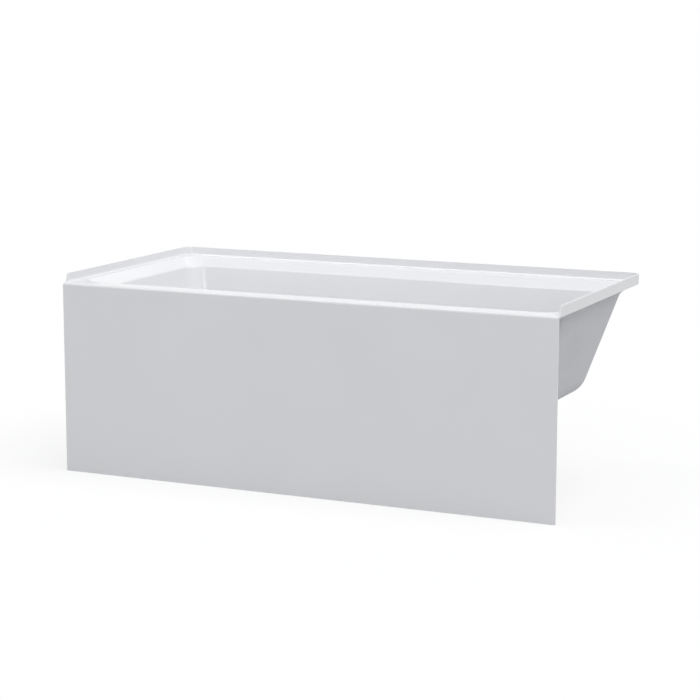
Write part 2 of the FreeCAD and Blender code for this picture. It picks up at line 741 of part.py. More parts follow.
def build_feet():
    """Four threaded rods in nuts welded under the cross bars, each on a pad that it turns in."""
    parts = []
    weld_nuts = []
    lock_nuts = []
    bore = size("rod_radius") + size("thread_clearance")
    web_bottom = bar_top - size("steel_wall")
    corners = [(x, y) for y in (foot_front, foot_back) for x in (-bar_x, bar_x)]
    for number, (x, y) in enumerate(corners, 1):
        neck = size("pad_neck_radius")
        parts.append(turned(f"foot_{number}_pad", [
            (0, 0), (size("pad_radius"), 0), (size("pad_radius"), size("pad_rim")),
            (neck, size("pad_rim") + size("pad_slope")), (neck, size("pad_height")),
            (bore, size("pad_height")), (bore, size("pad_floor")), (0, size("pad_floor"))], x, y, 0))
        start = size("pad_floor") + size("end_play")
        rod = cylinder(f"foot_{number}_shaft", size("rod_radius"), bar_top + size("rod_reserve") - start,
                       x, y, start)
        key = hexagon(f"foot_{number}_key", size("hex_flats"), size("hex_height"),
                      x, y, size("pad_height") + size("seat_gap"))
        parts.append(fuse(f"foot_{number}_rod", rod, key))
        for kind, nuts, share in (("weld", weld_nuts, 1), ("lock", lock_nuts, 2)):
            z = web_bottom - size("nut_height") * share
            blank = hexagon(f"foot_{number}_{kind}_blank", size("nut_flats"), size("nut_height"), x, y, z)
            hole = cylinder(f"foot_{number}_{kind}_bore", bore, size("nut_height"), x, y, z)
            nuts.append(cut(f"foot_{number}_{kind}_nut", blank, hole))
    return parts + [group("weld_nuts", weld_nuts), group("lock_nuts", lock_nuts)]


# --- the waste -------------------------------------------------------------------------------


def build_drain():
    """The chrome flange with its barrel and cross, the gasket under the bath and the elbow below."""
    barrel = size("drain_barrel_radius")
    bore = size("drain_bore_radius")
    top = size("drain_flange_wall")
    rim_radius = size("drain_flange_radius")
    length = size("drain_barrel_length")
    turning = turned("drain_turning", [
        (bore, -length), (barrel, -length), (barrel, 0), (rim_radius, 0), (rim_radius, size("drain_flange_edge")),
        (rim_radius - top, top), (bore, top)], drain_x, middle, drain_seat)
    cross_top = drain_seat - size("cross_depth")
    cross_bottom = cross_top - size("cross_height")
    half = size("cross_wall") / 2
    reach = (bore + barrel) / 2
    arms = [
        block("cross_along", (drain_x - reach, drain_x + reach), (middle - half, middle + half),
              (cross_bottom, cross_top)),
        block("cross_across", (drain_x - half, drain_x + half), (middle - reach, middle + reach),
              (cross_bottom, cross_top)),
        cylinder("cross_boss", size("sleeve_radius"), size("cross_height"), drain_x, middle, cross_bottom),
    ]
    hole = cylinder("cross_hole", size("post_radius"), size("cross_height"), drain_x, middle, cross_bottom)
    flange = cut("drain_flange", fuse("drain_casting", turning, *arms), hole)
    gasket = ring("drain_gasket", barrel + size("hole_clearance"), size("shoe_radius"),
                  size("gasket_wall"), drain_x, middle, shoe_top)

    shoe_bore = barrel + size("thread_clearance")
    deep = size("shoe_depth")
    wall = size("socket_wall")
    cup = turned("shoe_cup", [
        (0, -deep), (size("shoe_body_radius"), -deep), (size("shoe_body_radius"), -wall * 2),
        (size("shoe_radius"), -wall), (size("shoe_radius"), 0), (0, 0)], drain_x, middle, shoe_top)
    hollow = cylinder("shoe_hollow", shoe_bore, deep - wall, drain_x, middle, shoe_top - deep + wall)
    outlet = lay_along(cylinder("shoe_outlet", socket_outer, size("shoe_reach"), drain_x, middle, waste_z), "-X")
    way = lay_along(cylinder("shoe_way", tube_bore, size("shoe_reach"), drain_x, middle, waste_z), "-X")
    socket = lay_along(cylinder("shoe_socket", socket_inner, size("socket_depth"),
                                shoe_end + size("socket_depth"), middle, waste_z), "-X")
    shoe = cut("waste_elbow", fuse("shoe_casting", cup, outlet), hollow, way, socket)
    return [flange, gasket, shoe]


def pipe(name, length, x, y, z, direction=None):
    """A length of tube that starts at the point given."""
    outside = cylinder(f"{name}_outside", size("pipe_radius"), length, x, y, z)
    inside = cylinder(f"{name}_inside", size("pipe_radius") - size("pipe_wall"), length, x, y, z)
    if direction:
        lay_along(outside, direction)
        lay_along(inside, direction)
    return cut(name, outside, inside)


def slip_nut(name, x, y, z, direction=None):
    """A nut over a socket's end; it starts at its lip, and the direction points to the socket."""
    thread = socket_outer + size("thread_clearance")
    outer = socket_outer + size("slip_nut_wall")
    lip = size("slip_nut_lip")
    far = size("slip_nut_height") - lip
    nut = turned(name, [(socket_inner, -lip), (outer, -lip), (outer, far), (thread, far), (thread, 0),
                        (socket_inner, 0)], x, y, z)
    return lay_along(nut, direction) if direction else nut


def build_waste_pipes():
    """The tube from the elbow to the tee, the tee, the overflow tube above it and the tail pipe."""
    reach = size("tee_reach")
    depth = size("socket_depth")
    run = cylinder("tee_run", socket_outer, reach * 2, pipe_x, middle, waste_z - reach)
    branch = lay_along(cylinder("tee_branch", socket_outer, reach, pipe_x, middle, waste_z), "+X")
    hollows = [
        cylinder("tee_way_up", tube_bore, reach * 2, pipe_x, middle, waste_z - reach),
        lay_along(cylinder("tee_way_side", tube_bore, reach, pipe_x, middle, waste_z), "+X"),
        cylinder("tee_socket_up", socket_inner, depth, pipe_x, middle, waste_z + reach - depth),
        cylinder("tee_socket_down", socket_inner, depth, pipe_x, middle, waste_z - reach),
        lay_along(cylinder("tee_socket_side", socket_inner, depth, pipe_x + reach - depth, middle, waste_z),
                  "+X"),
    ]
    tee = cut("waste_tee", fuse("tee_casting", run, branch), *hollows)
    inserted = depth - size("socket_play")
    start = shoe_end + inserted
    waste_tube = pipe("waste_tube", start - (pipe_x + reach - inserted), start, middle, waste_z, "-X")
    low = waste_z + reach - inserted
    overflow_tube = pipe("overflow_tube", elbow_bottom + inserted - low, pipe_x, middle, low)
    outside = size("pipe_radius")
    bore = outside - size("pipe_wall")
    spigot = outside - size("spigot_step")
    top = waste_z - reach + inserted - size("outlet_height")
    free = top - inserted - size("slip_nut_lip") - size("socket_play")
    tail_pipe = turned("tail_pipe", [(bore, 0), (outside, 0), (outside, free), (spigot, free), (spigot, top),
                                     (bore, top)], pipe_x, middle, size("outlet_height"))
    nuts = [
        slip_nut("nut_elbow_side", shoe_end, middle, waste_z, "+X"),
        slip_nut("nut_tee_side", pipe_x + reach, middle, waste_z, "-X"),
        slip_nut("nut_tee_down", pipe_x, middle, waste_z - reach),
        slip_nut("nut_tee_up", pipe_x, middle, waste_z + reach, "-Z"),
        slip_nut("nut_overflow", pipe_x, middle, elbow_bottom),
    ]
    return [tee, waste_tube, overflow_tube, tail_pipe, group("slip_nuts", nuts)]


def tilt(target):
    """Turns a piece from upright to square on the drain end's wall, facing into the well."""
    target.Placement = Placement(target.Placement.Base, Rotation(Vector(0, 1, 0), 45))
    bind(target, Placement__Rotation__Angle=90 - size("drain_draft"))
    return target


def on_wall(piece):
    place(piece, overflow_x, middle, overflow_z)
    return tilt(piece)


def build_overflow():
    """The cover plate in the well, its screws, and behind the wall the gasket and the elbow."""
    radius = size("overflow_plate_radius")
    rise = size("overflow_plate_rise")
    wall = size("overflow_plate_wall")
    plate = new_body("overflow_plate")
    sketch = new_sketch(plate, "profile", "XZ_Plane")
    bevel = size("overflow_plate_bevel")
    draw_outline(sketch, [(0, rise - wall), (radius - bevel - wall / 2, rise - wall),
                          (radius - wall, rise - bevel - wall / 2), (radius - wall, 0), (radius, 0),
                          (radius, rise - bevel), (radius - bevel, rise), (0, rise)])
    revolve(plate, sketch)
    slot = new_sketch(plate, "slot", "XY_Plane", 0)
    half = size("overflow_slot_width") / 2
    near = radius - size("overflow_slot_depth")
    draw_outline(slot, [(near, -half), (radius + wall, -half), (radius + wall, half), (near, half)])
    pocket(plate, slot, size("overflow_slot_height"), reverse=True)
    screw = size("overflow_screw_radius")
    offset = size("overflow_screw_offset")
    holes = new_sketch(plate, "screw_holes", "XY_Plane", rise)
    for side in (-1, 1):
        draw_circle(holes, 0, offset * side, screw + size("screw_clearance"))
    pocket(plate, holes, rise)
    on_wall(plate)

    back = -skin - size("gasket_wall")
    flange_back = back - size("overflow_flange_wall")
    gasket = on_wall(turned("overflow_gasket", [(size("overflow_hole"), back), (radius, back),
                                                (radius, -skin), (size("overflow_hole"), -skin)]))
    disc = on_wall(turned("elbow_disc", [(0, flange_back), (radius, flange_back), (radius, back), (0, back)]))
    neck_radius = size("overflow_neck_radius")
    far = flange_back - neck_radius
    neck = on_wall(turned("elbow_neck", [(0, far), (neck_radius, far), (neck_radius, back), (0, back)]))
    upright = cylinder("elbow_upright", socket_outer, elbow_top - elbow_bottom, pipe_x, middle, elbow_bottom)
    way_radius = neck_radius - size("socket_wall")
    way = on_wall(turned("elbow_way", [(0, far), (way_radius, far), (way_radius, -skin), (0, -skin)]))
    drop = cylinder("elbow_drop", tube_bore, elbow_top - elbow_bottom - size("socket_wall"),
                    pipe_x, middle, elbow_bottom)
    socket = cylinder("elbow_socket", socket_inner, size("socket_depth"), pipe_x, middle, elbow_bottom)
    screws = []
    screw_holes = []
    top = rise + size("screw_head_height")
    for number, side in enumerate((-1, 1)):
        shank = turned(f"overflow_screw_{number}", [
            (0, flange_back), (screw, flange_back), (screw, rise), (size("overflow_screw_head"), rise),
            (size("overflow_screw_crown"), top), (0, top)], overflow_x, middle + offset * side, overflow_z)
        screws.append(tilt(shank))
        hole = turned(f"elbow_screw_hole_{number}", [
            (0, flange_back), (screw, flange_back), (screw, back), (0, back)],
            overflow_x, middle + offset * side, overflow_z)
        screw_holes.append(tilt(hole))
    elbow = cut("overflow_elbow", fuse("elbow_casting", disc, neck, upright), way, drop, socket, *screw_holes)
    return [plate, gasket, elbow, group("overflow_screws", screws)]


def build_stopper():
    """The post on the barrel's cross, and the cap with its seal, which slides on the post."""
    top = size("drain_flange_wall")
    gap = size("seat_gap")
    seal_low = drain_seat + top + gap
    seal_high = seal_low + size("seal_wall")
    radius = size("stopper_radius")
    sleeve = size("sleeve_radius")
    bore = size("post_radius") + size("running_clearance")
    cross_top = drain_seat - size("cross_depth")
    sleeve_bottom = cross_top + size("sleeve_end_gap")
    edge = size("stopper_wall")
    cap = turned("stopper_cap", [
        (0, seal_high - sleeve_bottom), (bore, seal_high - sleeve_bottom), (bore, 0), (sleeve, 0),
        (sleeve, seal_high - sleeve_bottom), (radius, seal_high - sleeve_bottom),
        (radius, seal_high - sleeve_bottom + edge / 2), (radius - edge / 2, seal_high - sleeve_bottom + edge),
        (0, seal_high - sleeve_bottom + edge + size("stopper_dome"))], drain_x, middle, sleeve_bottom)
    seal = ring("stopper_seal", sleeve, radius - size("seal_inset"), size("seal_wall"), drain_x, middle, seal_low)
    post_bottom = cross_top - size("cross_height")
    post = cylinder("stopper_post", size("post_radius"), seal_low - gap - post_bottom,
                    drain_x, middle, post_bottom)
    return [cap, seal, post]


PARTS = [finish_tub_shell(build_tub_shell()), build_laminate()]
PARTS += build_apron_stiffening()
PARTS += build_cradle()
PARTS += build_feet()
PARTS += build_drain()
PARTS += build_waste_pipes()
PARTS += build_overflow()
PARTS += build_stopper()

doc.recompute()
for item in doc.Objects:
    if "Invalid" in item.State or "Error" in item.State:
        raise ValueError(f"{item.Label} did not build")
for part in PARTS:
    if part.Shape.isNull() or not part.Shape.isValid():
        raise ValueError(f"{part.Label} has no sound shape")
    print(part.Label, len(part.Shape.Solids), round(part.Shape.Volume), part.Shape.BoundBox)

os.makedirs("parts", exist_ok=True)
for part in PARTS:
    part.Shape.exportStep(f"parts/{part.Label}.step")
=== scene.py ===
# %% [markdown]
# # A glossy alcove bathtub
# The bath is packed as a CAD frame: every solid has its real size and place already. This script
# dresses that frame. It gives each CAD solid a finish, models the small pieces more finely where
# the solids are plain (threads, nuts, screws, rough glass fibre), and sets up floor, light and camera.

import math

import bmesh
import bpy
from mathutils import Matrix, Vector, noise


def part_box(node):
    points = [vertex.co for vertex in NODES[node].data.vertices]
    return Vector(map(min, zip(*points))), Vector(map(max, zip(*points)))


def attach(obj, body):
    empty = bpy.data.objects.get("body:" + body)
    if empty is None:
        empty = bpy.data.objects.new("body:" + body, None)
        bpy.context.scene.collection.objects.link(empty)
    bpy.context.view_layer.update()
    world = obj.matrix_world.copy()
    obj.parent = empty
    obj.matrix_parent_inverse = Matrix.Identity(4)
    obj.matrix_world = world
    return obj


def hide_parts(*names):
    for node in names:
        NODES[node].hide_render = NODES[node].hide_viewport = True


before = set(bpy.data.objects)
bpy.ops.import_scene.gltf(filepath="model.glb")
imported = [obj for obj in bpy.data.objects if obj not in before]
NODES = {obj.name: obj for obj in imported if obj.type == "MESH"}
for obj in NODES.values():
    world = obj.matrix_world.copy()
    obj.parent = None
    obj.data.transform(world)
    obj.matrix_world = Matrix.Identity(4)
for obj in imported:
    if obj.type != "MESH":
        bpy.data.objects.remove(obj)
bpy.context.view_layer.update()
MM = 0.001

# %% [markdown]
# ## Numbers that flow through a shader
# A surface pattern is arithmetic on the position of each point. Adding Math nodes by hand hides that
# arithmetic, so a small class wraps a socket and lets Python's own operators add the nodes.


# %% A socket that understands + - * /
class Wire:
    """One output of a shader node, ready for arithmetic."""

    def __init__(self, tree, socket):
        self.tree = tree
        self.socket = socket

    def node(self, kind, settings=(), sockets=(), out=0):
        """Adds any node: its type, its settings, what goes into its sockets, and the output wanted."""
        made = self.tree.nodes.new(kind)
        for name, value in dict(settings).items():
            if name == "stops":
                self.set_stops(made.color_ramp, value)
            else:
                setattr(made, name, value)
        for name, value in dict(sockets).items():
            if isinstance(value, Wire):
                self.tree.links.new(value.socket, made.inputs[name])
            else:
                made.inputs[name].default_value = value
        return Wire(self.tree, made.outputs[out])

    @staticmethod
    def set_stops(ramp, stops):
        while len(ramp.elements) < len(stops):
            ramp.elements.new(1.0)
        for element, (position, colour) in zip(ramp.elements, stops):
            element.position = position
            element.color = (*colour, 1.0)

    def math(self, operation, *others):
        return self.node("ShaderNodeMath", {"operation": operation}, enumerate((self, *others)))

    def __add__(self, other):
        return self.math("ADD", other)

    def __sub__(self, other):
        return self.math("SUBTRACT", other)

    def __mul__(self, other):
        return self.math("MULTIPLY", other)

    def __truediv__(self, other):
        return self.math("DIVIDE", other)

    __radd__ = __add__


# %% [markdown]
# ## A few shared patterns
# Most real finishes are the same handful of patterns at different sizes: soft clouds, cells and a
# stretched grain. Each takes a position in metres, so its size is a real size in millimetres.


# %% Patterns by real size
def stretch(place, x=1.0, y=1.0, z=1.0, turn=(0.0, 0.0, 0.0)):
    """The position, turned and then scaled along each axis."""
    sockets = {"Vector": place, "Rotation": turn, "Scale": (x, y, z)}
    return place.node("ShaderNodeMapping", {"vector_type": "POINT"}, sockets)


def clouds(place, size, detail=2.0, rough=0.5):
    """Soft noise whose lumps are about this many metres apart."""
    sockets = {"Vector": place, "Scale": 1 / size, "Detail": detail, "Roughness": rough}
    return place.node("ShaderNodeTexNoise", (), sockets)


def cells(place, size, out=0):
    """Cells about this many metres across; output 0 is the distance and 1 a colour for each cell."""
    return place.node("ShaderNodeTexVoronoi", (), {"Vector": place, "Scale": 1 / size}, out)


def step_up(value, low, high, start=0.0, end=1.0):
    """Rises smoothly from start to end as the value goes from low to high."""
    return value.node("ShaderNodeMapRange", {"interpolation_type": "SMOOTHSTEP"},
                      {0: value, 1: low, 2: high, 3: start, 4: end})


def tint(mask, low, high):
    """One colour where the mask is 0 and the other where it is 1."""
    colours = [(*each, 1.0) if isinstance(each, tuple) else each for each in (low, high)]
    return mask.node("ShaderNodeMix", {"data_type": "RGBA"}, {0: mask, 6: colours[0], 7: colours[1]}, 2)


def axis_of(place, axis):
    return place.node("ShaderNodeSeparateXYZ", (), {"Vector": place}, "XYZ".index(axis))


# %% [markdown]
# ## An empty finish
# Every finish is one Principled shader. Values that are the same all over are set on its own sockets,
# and only colour, roughness and relief are wired, because those are what an export can bake.


# %% Start and wire a finish
class Finish:
    """A Principled material, with the position on the object as its starting wire."""

    def __init__(self, name, **constants):
        self.material = bpy.data.materials.new(name)
        self.material.use_nodes = True
        self.tree = self.material.node_tree
        self.shader = self.tree.nodes["Principled BSDF"]
        for socket, value in constants.items():
            self.shader.inputs[socket.replace("_", " ")].default_value = value
        texture = self.tree.nodes.new("ShaderNodeTexCoord")
        self.place = Wire(self.tree, texture.outputs["Object"])

    def wire(self, socket, value):
        self.tree.links.new(value.socket, self.shader.inputs[socket])

    def relief(self, height, depth):
        """Relief whose height value of 1 stands for this many metres."""
        bump = height.node("ShaderNodeBump", (), {"Strength": 1.0, "Distance": depth, "Height": height})
        self.wire("Normal", bump)


# %% [markdown]
# ## Glossy acrylic
# The bath is one sheet of cast acrylic, drawn hot over a mould. It is almost a mirror, but never quite
# flat: the drawn sheet keeps a very shallow waviness, a few centimetres long, and a faint orange peel.
# Those few microns are what makes a highlight look like plastic and not like paint on glass.

# %% The bath's own finish
ACRYLIC_WARM = (0.846, 0.847, 0.860)
ACRYLIC_COOL = (0.856, 0.858, 0.872)
ACRYLIC_ROUGH = (0.09, 0.12)
TINT_SIZE = 220 * MM
HAZE_SIZE = 45 * MM
WAVE_SIZE = 70 * MM
PEEL_SIZE = 3.5 * MM
PEEL_SHARE = 0.06
WAVE_DEPTH = 0.02 * MM


def make_acrylic():
    finish = Finish("gloss_acrylic", IOR=1.49)
    place = finish.place
    thickness = clouds(place, TINT_SIZE, 2.0)
    finish.wire("Base Color", tint(step_up(thickness, 0.35, 0.65), ACRYLIC_WARM, ACRYLIC_COOL))
    haze = clouds(place, HAZE_SIZE, 3.0, 0.6)
    finish.wire("Roughness", step_up(haze, 0.3, 0.75, *ACRYLIC_ROUGH))
    wave = clouds(place, WAVE_SIZE, 1.0)
    peel = clouds(place, PEEL_SIZE, 1.0)
    finish.relief(wave + peel * PEEL_SHARE, WAVE_DEPTH)
    return finish.material


acrylic = make_acrylic()
NODES["tub_shell"].material_slots[0].material = acrylic
print("acrylic on", NODES["tub_shell"].name, "with", len(NODES["tub_shell"].data.polygons), "faces")

# %% [markdown]
# ## Chopped glass and resin
# Behind the acrylic a gun lays down chopped glass strands and resin, rolled flat by hand. The strands
# are about 30 mm long and lie in every direction, the resin is slightly yellow where it is thick, and
# the surface is full of little ridges. Stretched noise at several angles, laid over each other, gives
# the tangle of strands.

# %% Glass-fibre finish
STRAND_ANGLES = (0.0, 0.55, 1.1, 1.65, 2.2, 2.75)
STRAND_LENGTH = 30 * MM
STRAND_WIDTH = 1.6 * MM
LUMP_SIZE = 12 * MM
THICKNESS_SIZE = 120 * MM
FIBRE_DEPTH = 0.5 * MM
RESIN_THIN = (0.705, 0.718, 0.745)
RESIN_THICK = (0.680, 0.692, 0.712)
STRAND_WHITE = (0.765, 0.778, 0.800)


def strands(place, angle):
    """Thin streaks at one angle, seen on level and on upright faces alike."""
    turned = stretch(place, turn=(angle * 0.7, angle, angle * 1.3))
    streaks = clouds(stretch(turned, 1 / STRAND_LENGTH, 1 / STRAND_WIDTH, 1 / STRAND_WIDTH), 1.0, 1.0)
    return step_up(streaks, 0.60, 0.68)


def make_glass_fibre():
    finish = Finish("rolled_glass_fibre", IOR=1.52)
    place = finish.place
    tangle = strands(place, STRAND_ANGLES[0])
    for angle in STRAND_ANGLES[1:]:
        tangle = tangle.math("MAXIMUM", strands(place, angle))
    lumps = clouds(place, LUMP_SIZE, 3.0, 0.6)
    rich = step_up(clouds(place, THICKNESS_SIZE, 2.0), 0.4, 0.65)
    resin = tint(rich, RESIN_THIN, RESIN_THICK)
    finish.wire("Base Color", tint(tangle * 0.6, resin, STRAND_WHITE))
    finish.wire("Roughness", step_up(lumps, 0.3, 0.7, 0.38, 0.55) + tangle * 0.08)
    finish.relief(tangle * 0.3 + lumps, FIBRE_DEPTH)
    return finish.material


glass_fibre = make_glass_fibre()
print("glass fibre uses", len(glass_fibre.node_tree.nodes), "nodes")

# %% [markdown]
# ## Pine and plywood
# A batten is sawn along the grain. Its growth rings are cylinders round a core that lies outside the
# batten, so on a face they show as long lines. The distance from such a core, bent a little by slow
# noise, gives those lines and the end grain at once. Plywood has the same grain on its faces, and its
# edge shows the plies, which alternate every couple of millimetres.

# %% Wood finishes
RING_GAP = 3.8 * MM
FIBRE_SIZE = 1.2 * MM
PINE_PALE = (0.66, 0.47, 0.27)
PINE_DARK = (0.47, 0.28, 0.13)
PINE_STAIN = (0.40, 0.29, 0.18)
PINE_RELIEF = 0.25 * MM


def rings(place, along, core):
    """Growth rings round a line along one axis, at the given place across it."""
    slow = {"X": (0.25, 1, 1), "Z": (1, 1, 0.25)}[along]
    wander = clouds(stretch(place, *slow), 0.09, 2.0) * 0.02
    first = axis_of(place, "Y" if along == "Z" else "Z") - core[0]
    second = axis_of(place, "X" if along == "Z" else "Y") - core[1]
    return (first * first + second * second).math("SQRT") + wander


def grain(place, along):
    """Fine fibres, drawn out 25 times along the given axis."""
    fine = {"X": (0.04, 1, 1), "Z": (1, 1, 0.04)}[along]
    return clouds(stretch(place, *fine), FIBRE_SIZE, 3.0, 0.65)


def make_pine(name, along, core):
    finish = Finish(name, IOR=1.45)
    place = finish.place
    phase = (rings(place, along, core) / RING_GAP).math("FRACT")
    late = step_up(phase, 0.55, 0.92)
    fibres = grain(place, along)
    tone = tint(late * 0.8 + fibres * 0.25, PINE_PALE, PINE_DARK)
    stain = step_up(clouds(place, 0.16, 2.0), 0.42, 0.7)
    finish.wire("Base Color", tint(stain * 0.22, tone, PINE_STAIN))
    finish.wire("Roughness", 0.62 + fibres * 0.2)
    finish.relief(fibres - late * 0.3, PINE_RELIEF)
    return finish.material


PLIES = 7
PLY_PALE = (0.64, 0.48, 0.30)
PLY_DARK = (0.53, 0.37, 0.21)
PLY_CROSSED = (0.36, 0.23, 0.12)
PLY_RELIEF = 0.18 * MM


def make_plywood():
    finish = Finish("plywood", IOR=1.45)
    place = finish.place
    low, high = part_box("base_board")
    ply = (high.z - low.z) / PLIES
    layer = ((axis_of(place, "Z") - low.z) / ply).math("PINGPONG", 1.0)
    crossed = step_up(layer, 0.45, 0.55)
    figure = clouds(stretch(place, 0.12, 1, 1), 0.03, 3.0, 0.6)
    fibres = grain(place, "X")
    face = tint(step_up(figure, 0.35, 0.7), PLY_PALE, PLY_DARK)
    finish.wire("Base Color", tint(crossed * 0.55 + fibres * 0.2, face, PLY_CROSSED))
    finish.wire("Roughness", 0.6 + fibres * 0.25)
    finish.relief(fibres, PLY_RELIEF)
    return finish.material


pine_along = make_pine("pine_along", "X", (0.02, -0.52))
pine_upright = make_pine("pine_upright", "Z", (-0.42, 0.06))
plywood = make_plywood()
print("wood finishes:", pine_along.name, pine_upright.name, plywood.name)

# %% [markdown]
# ## Metals
# Hot-dip galvanising freezes in flat crystals 5 to 15 mm across, each a slightly different grey: that
# is a cell pattern with one tone per cell. Bright zinc on nuts and rods is finer and a touch yellow.
# Chrome is smooth, with only the faint haze of a cloth. Brass is a little duller than chrome.


# %% Metal finishes
CRYSTAL_SIZE = 9 * MM
ZINC_DARK = (0.43, 0.45, 0.47)
ZINC_PALE = (0.68, 0.70, 0.72)
WHITE_RUST = (0.70, 0.70, 0.70)


def bend(place, size, amount):
    """The position, pushed a little in a random direction, to bend another pattern."""
    wander = place.node("ShaderNodeTexNoise", (), {"Vector": place, "Scale": 1 / size}, 1)
    push = place.node("ShaderNodeVectorMath", {"operation": "SCALE"}, {0: wander, "Scale": amount})
    return place.node("ShaderNodeVectorMath", {"operation": "ADD"}, {0: place, 1: push})


def make_galvanised():
    finish = Finish("galvanised_steel", Metallic=1.0)
    place = finish.place
    bent = bend(place, 0.02, 0.006)
    shade = axis_of(cells(bent, CRYSTAL_SIZE, 1), "X")
    cloudy = clouds(place, 0.035, 3.0)
    rusty = step_up(clouds(place, 0.05, 4.0, 0.65), 0.60, 0.72)
    base = tint(shade * 0.75 + cloudy * 0.25, ZINC_DARK, ZINC_PALE)
    finish.wire("Base Color", tint(rusty * 0.5, base, WHITE_RUST))
    finish.wire("Roughness", 0.30 + shade * 0.18 + rusty * 0.25)
    finish.relief(cells(bent, CRYSTAL_SIZE) * 0.3 + cloudy, 0.12 * MM)
    return finish.material


def make_plated(name, low, high, rough, size, depth):
    """Metal with two close tones, a varying roughness, and a grain of the given size and depth."""
    finish = Finish(name, Metallic=1.0)
    place = finish.place
    patches = clouds(place, size * 12, 2.0)
    fine = clouds(place, size, 2.0)
    finish.wire("Base Color", tint(step_up(patches, 0.35, 0.65), low, high))
    finish.wire("Roughness", step_up(fine + patches, 0.7, 1.3, rough[0], rough[1]))
    finish.relief(fine, depth)
    return finish.material


galvanised = make_galvanised()
bright_zinc = make_plated("bright_zinc", (0.60, 0.60, 0.58), (0.70, 0.70, 0.71), (0.24, 0.40),
                          size=1.0 * MM, depth=0.02 * MM)
chrome = make_plated("polished_chrome", (0.56, 0.57, 0.59), (0.63, 0.64, 0.66), (0.05, 0.10),
                     size=4.0 * MM, depth=0.004 * MM)
brass = make_plated("turned_brass", (0.66, 0.47, 0.20), (0.74, 0.55, 0.27), (0.18, 0.32),
                    size=0.8 * MM, depth=0.01 * MM)
print("metal finishes:", [each.name for each in (galvanised, bright_zinc, chrome, brass)])

# %% [markdown]
# ## Rubber and plastics
# Moulded plastics differ mostly in sheen and in the fineness of their surface. White pipe is smooth
# with faint scuffs from handling, the grey nuts and feet have the fine spark-eroded grain of their
# mould, and rubber is dark and dusty, with a soft sheen.


# %% Plastic finishes
def make_moulded(name, low, high, rough, size, depth):
    """Plastic or rubber with two close tones, faint scuffs, and a grain of the given size and depth."""
    finish = Finish(name, IOR=1.5)
    place = finish.place
    patches = clouds(place, 0.03, 3.0, 0.6)
    scuffs = step_up(clouds(stretch(place, 1, 1, 6), 0.012, 4.0, 0.7), 0.62, 0.72)
    pores = clouds(place, size, 2.0)
    finish.wire("Base Color", tint(step_up(patches, 0.35, 0.7), low, high))
    finish.wire("Roughness", step_up(pores, 0.3, 0.7, rough[0], rough[1]) + scuffs * 0.12)
    finish.relief(pores, depth)
    return finish.material


white_pipe = make_moulded("white_pipe", (0.78, 0.78, 0.76), (0.83, 0.83, 0.82), (0.26, 0.36),
                          size=2.0 * MM, depth=0.03 * MM)
nut_plastic = make_moulded("grey_nuts", (0.30, 0.31, 0.32), (0.35, 0.36, 0.37), (0.40, 0.52),
                           size=0.6 * MM, depth=0.03 * MM)
foot_plastic = make_moulded("grey_feet", (0.20, 0.21, 0.22), (0.25, 0.26, 0.27), (0.45, 0.60),
                            size=0.7 * MM, depth=0.04 * MM)
rubber = make_moulded("black_rubber", (0.035, 0.035, 0.036), (0.060, 0.059, 0.057), (0.62, 0.80),
                      size=0.9 * MM, depth=0.04 * MM)
print("plastic finishes:", [each.name for each in (white_pipe, nut_plastic, foot_plastic, rubber)])

# %% [markdown]
# ## Finishes for the solids that stay
# The shell, the pipes and the gaskets already have their true shape in the frame, with smooth normals.
# They only need their finish.

# %% Paint the CAD solids
PAINTED = {
    "drain_gasket": rubber, "overflow_gasket": rubber, "stopper_seal": rubber, "stopper_post": brass,
    "waste_elbow": white_pipe, "waste_tee": white_pipe, "waste_tube": white_pipe,
    "overflow_tube": white_pipe, "tail_pipe": white_pipe, "overflow_elbow": white_pipe,
}
for node, material in PAINTED.items():
    for slot in NODES[node].material_slots:
        slot.material = material
print("painted", len(PAINTED), "more solids")

# %% [markdown]
# ## Making a piece
# A finished bmesh becomes an object in one place: doubles are merged, faces are turned outwards, sharp
# edges are marked by their angle, the piece takes its finish and rides on its body, and the plain
# solids it stands for are hidden.


# %% From bmesh to piece
WELD_GAP = 0.01 * MM
SHARP_ANGLE = 32.0


def make_piece(name, shape, body, material, stands_for=(), sharp=SHARP_ANGLE, turn_out=True):
    bmesh.ops.remove_doubles(shape, verts=shape.verts, dist=WELD_GAP)
    if turn_out:
        bmesh.ops.recalc_face_normals(shape, faces=shape.faces)
    mesh = bpy.data.meshes.new(name)
    shape.to_mesh(mesh)
    shape.free()
    mesh.materials.append(material)
    mesh.shade_smooth()
    mesh.set_sharp_from_angle(angle=math.radians(sharp))
    piece = bpy.data.objects.new(name, mesh)
    bpy.context.scene.collection.objects.link(piece)
    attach(piece, body)
    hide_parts(*stands_for)
    print(f"{name}: {sum(len(face.vertices) - 2 for face in mesh.polygons)} triangles")
    return piece


def add_shape(shape, other, matrix=Matrix.Identity(4)):
    """Puts a copy of one bmesh into another, moved by a matrix."""
    mesh = bpy.data.meshes.new("part")
    other.to_mesh(mesh)
    mesh.transform(matrix)
    shape.from_mesh(mesh)
    bpy.data.meshes.remove(mesh)


def solids_of(node):
    """The middle and the size of each separate solid in a node, from its own points."""
    shape = bmesh.new()
    shape.from_mesh(NODES[node].data)
    bmesh.ops.remove_doubles(shape, verts=shape.verts, dist=WELD_GAP)
    left = set(shape.verts)
    found = []
    while left:
        island = {left.pop()}
        edge = list(island)
        while edge:
            for link in edge.pop().link_edges:
                for vert in link.verts:
                    if vert in left:
                        left.discard(vert)
                        island.add(vert)
                        edge.append(vert)
        low = Vector(min(vert.co[axis] for vert in island) for axis in range(3))
        high = Vector(max(vert.co[axis] for vert in island) for axis in range(3))
        found.append(((low + high) / 2, high - low))
    shape.free()
    return sorted(found, key=lambda each: tuple(each[0]))


print("nut sizes:", [round(value / MM, 2) for value in solids_of("weld_nuts")[0][1]], "mm")

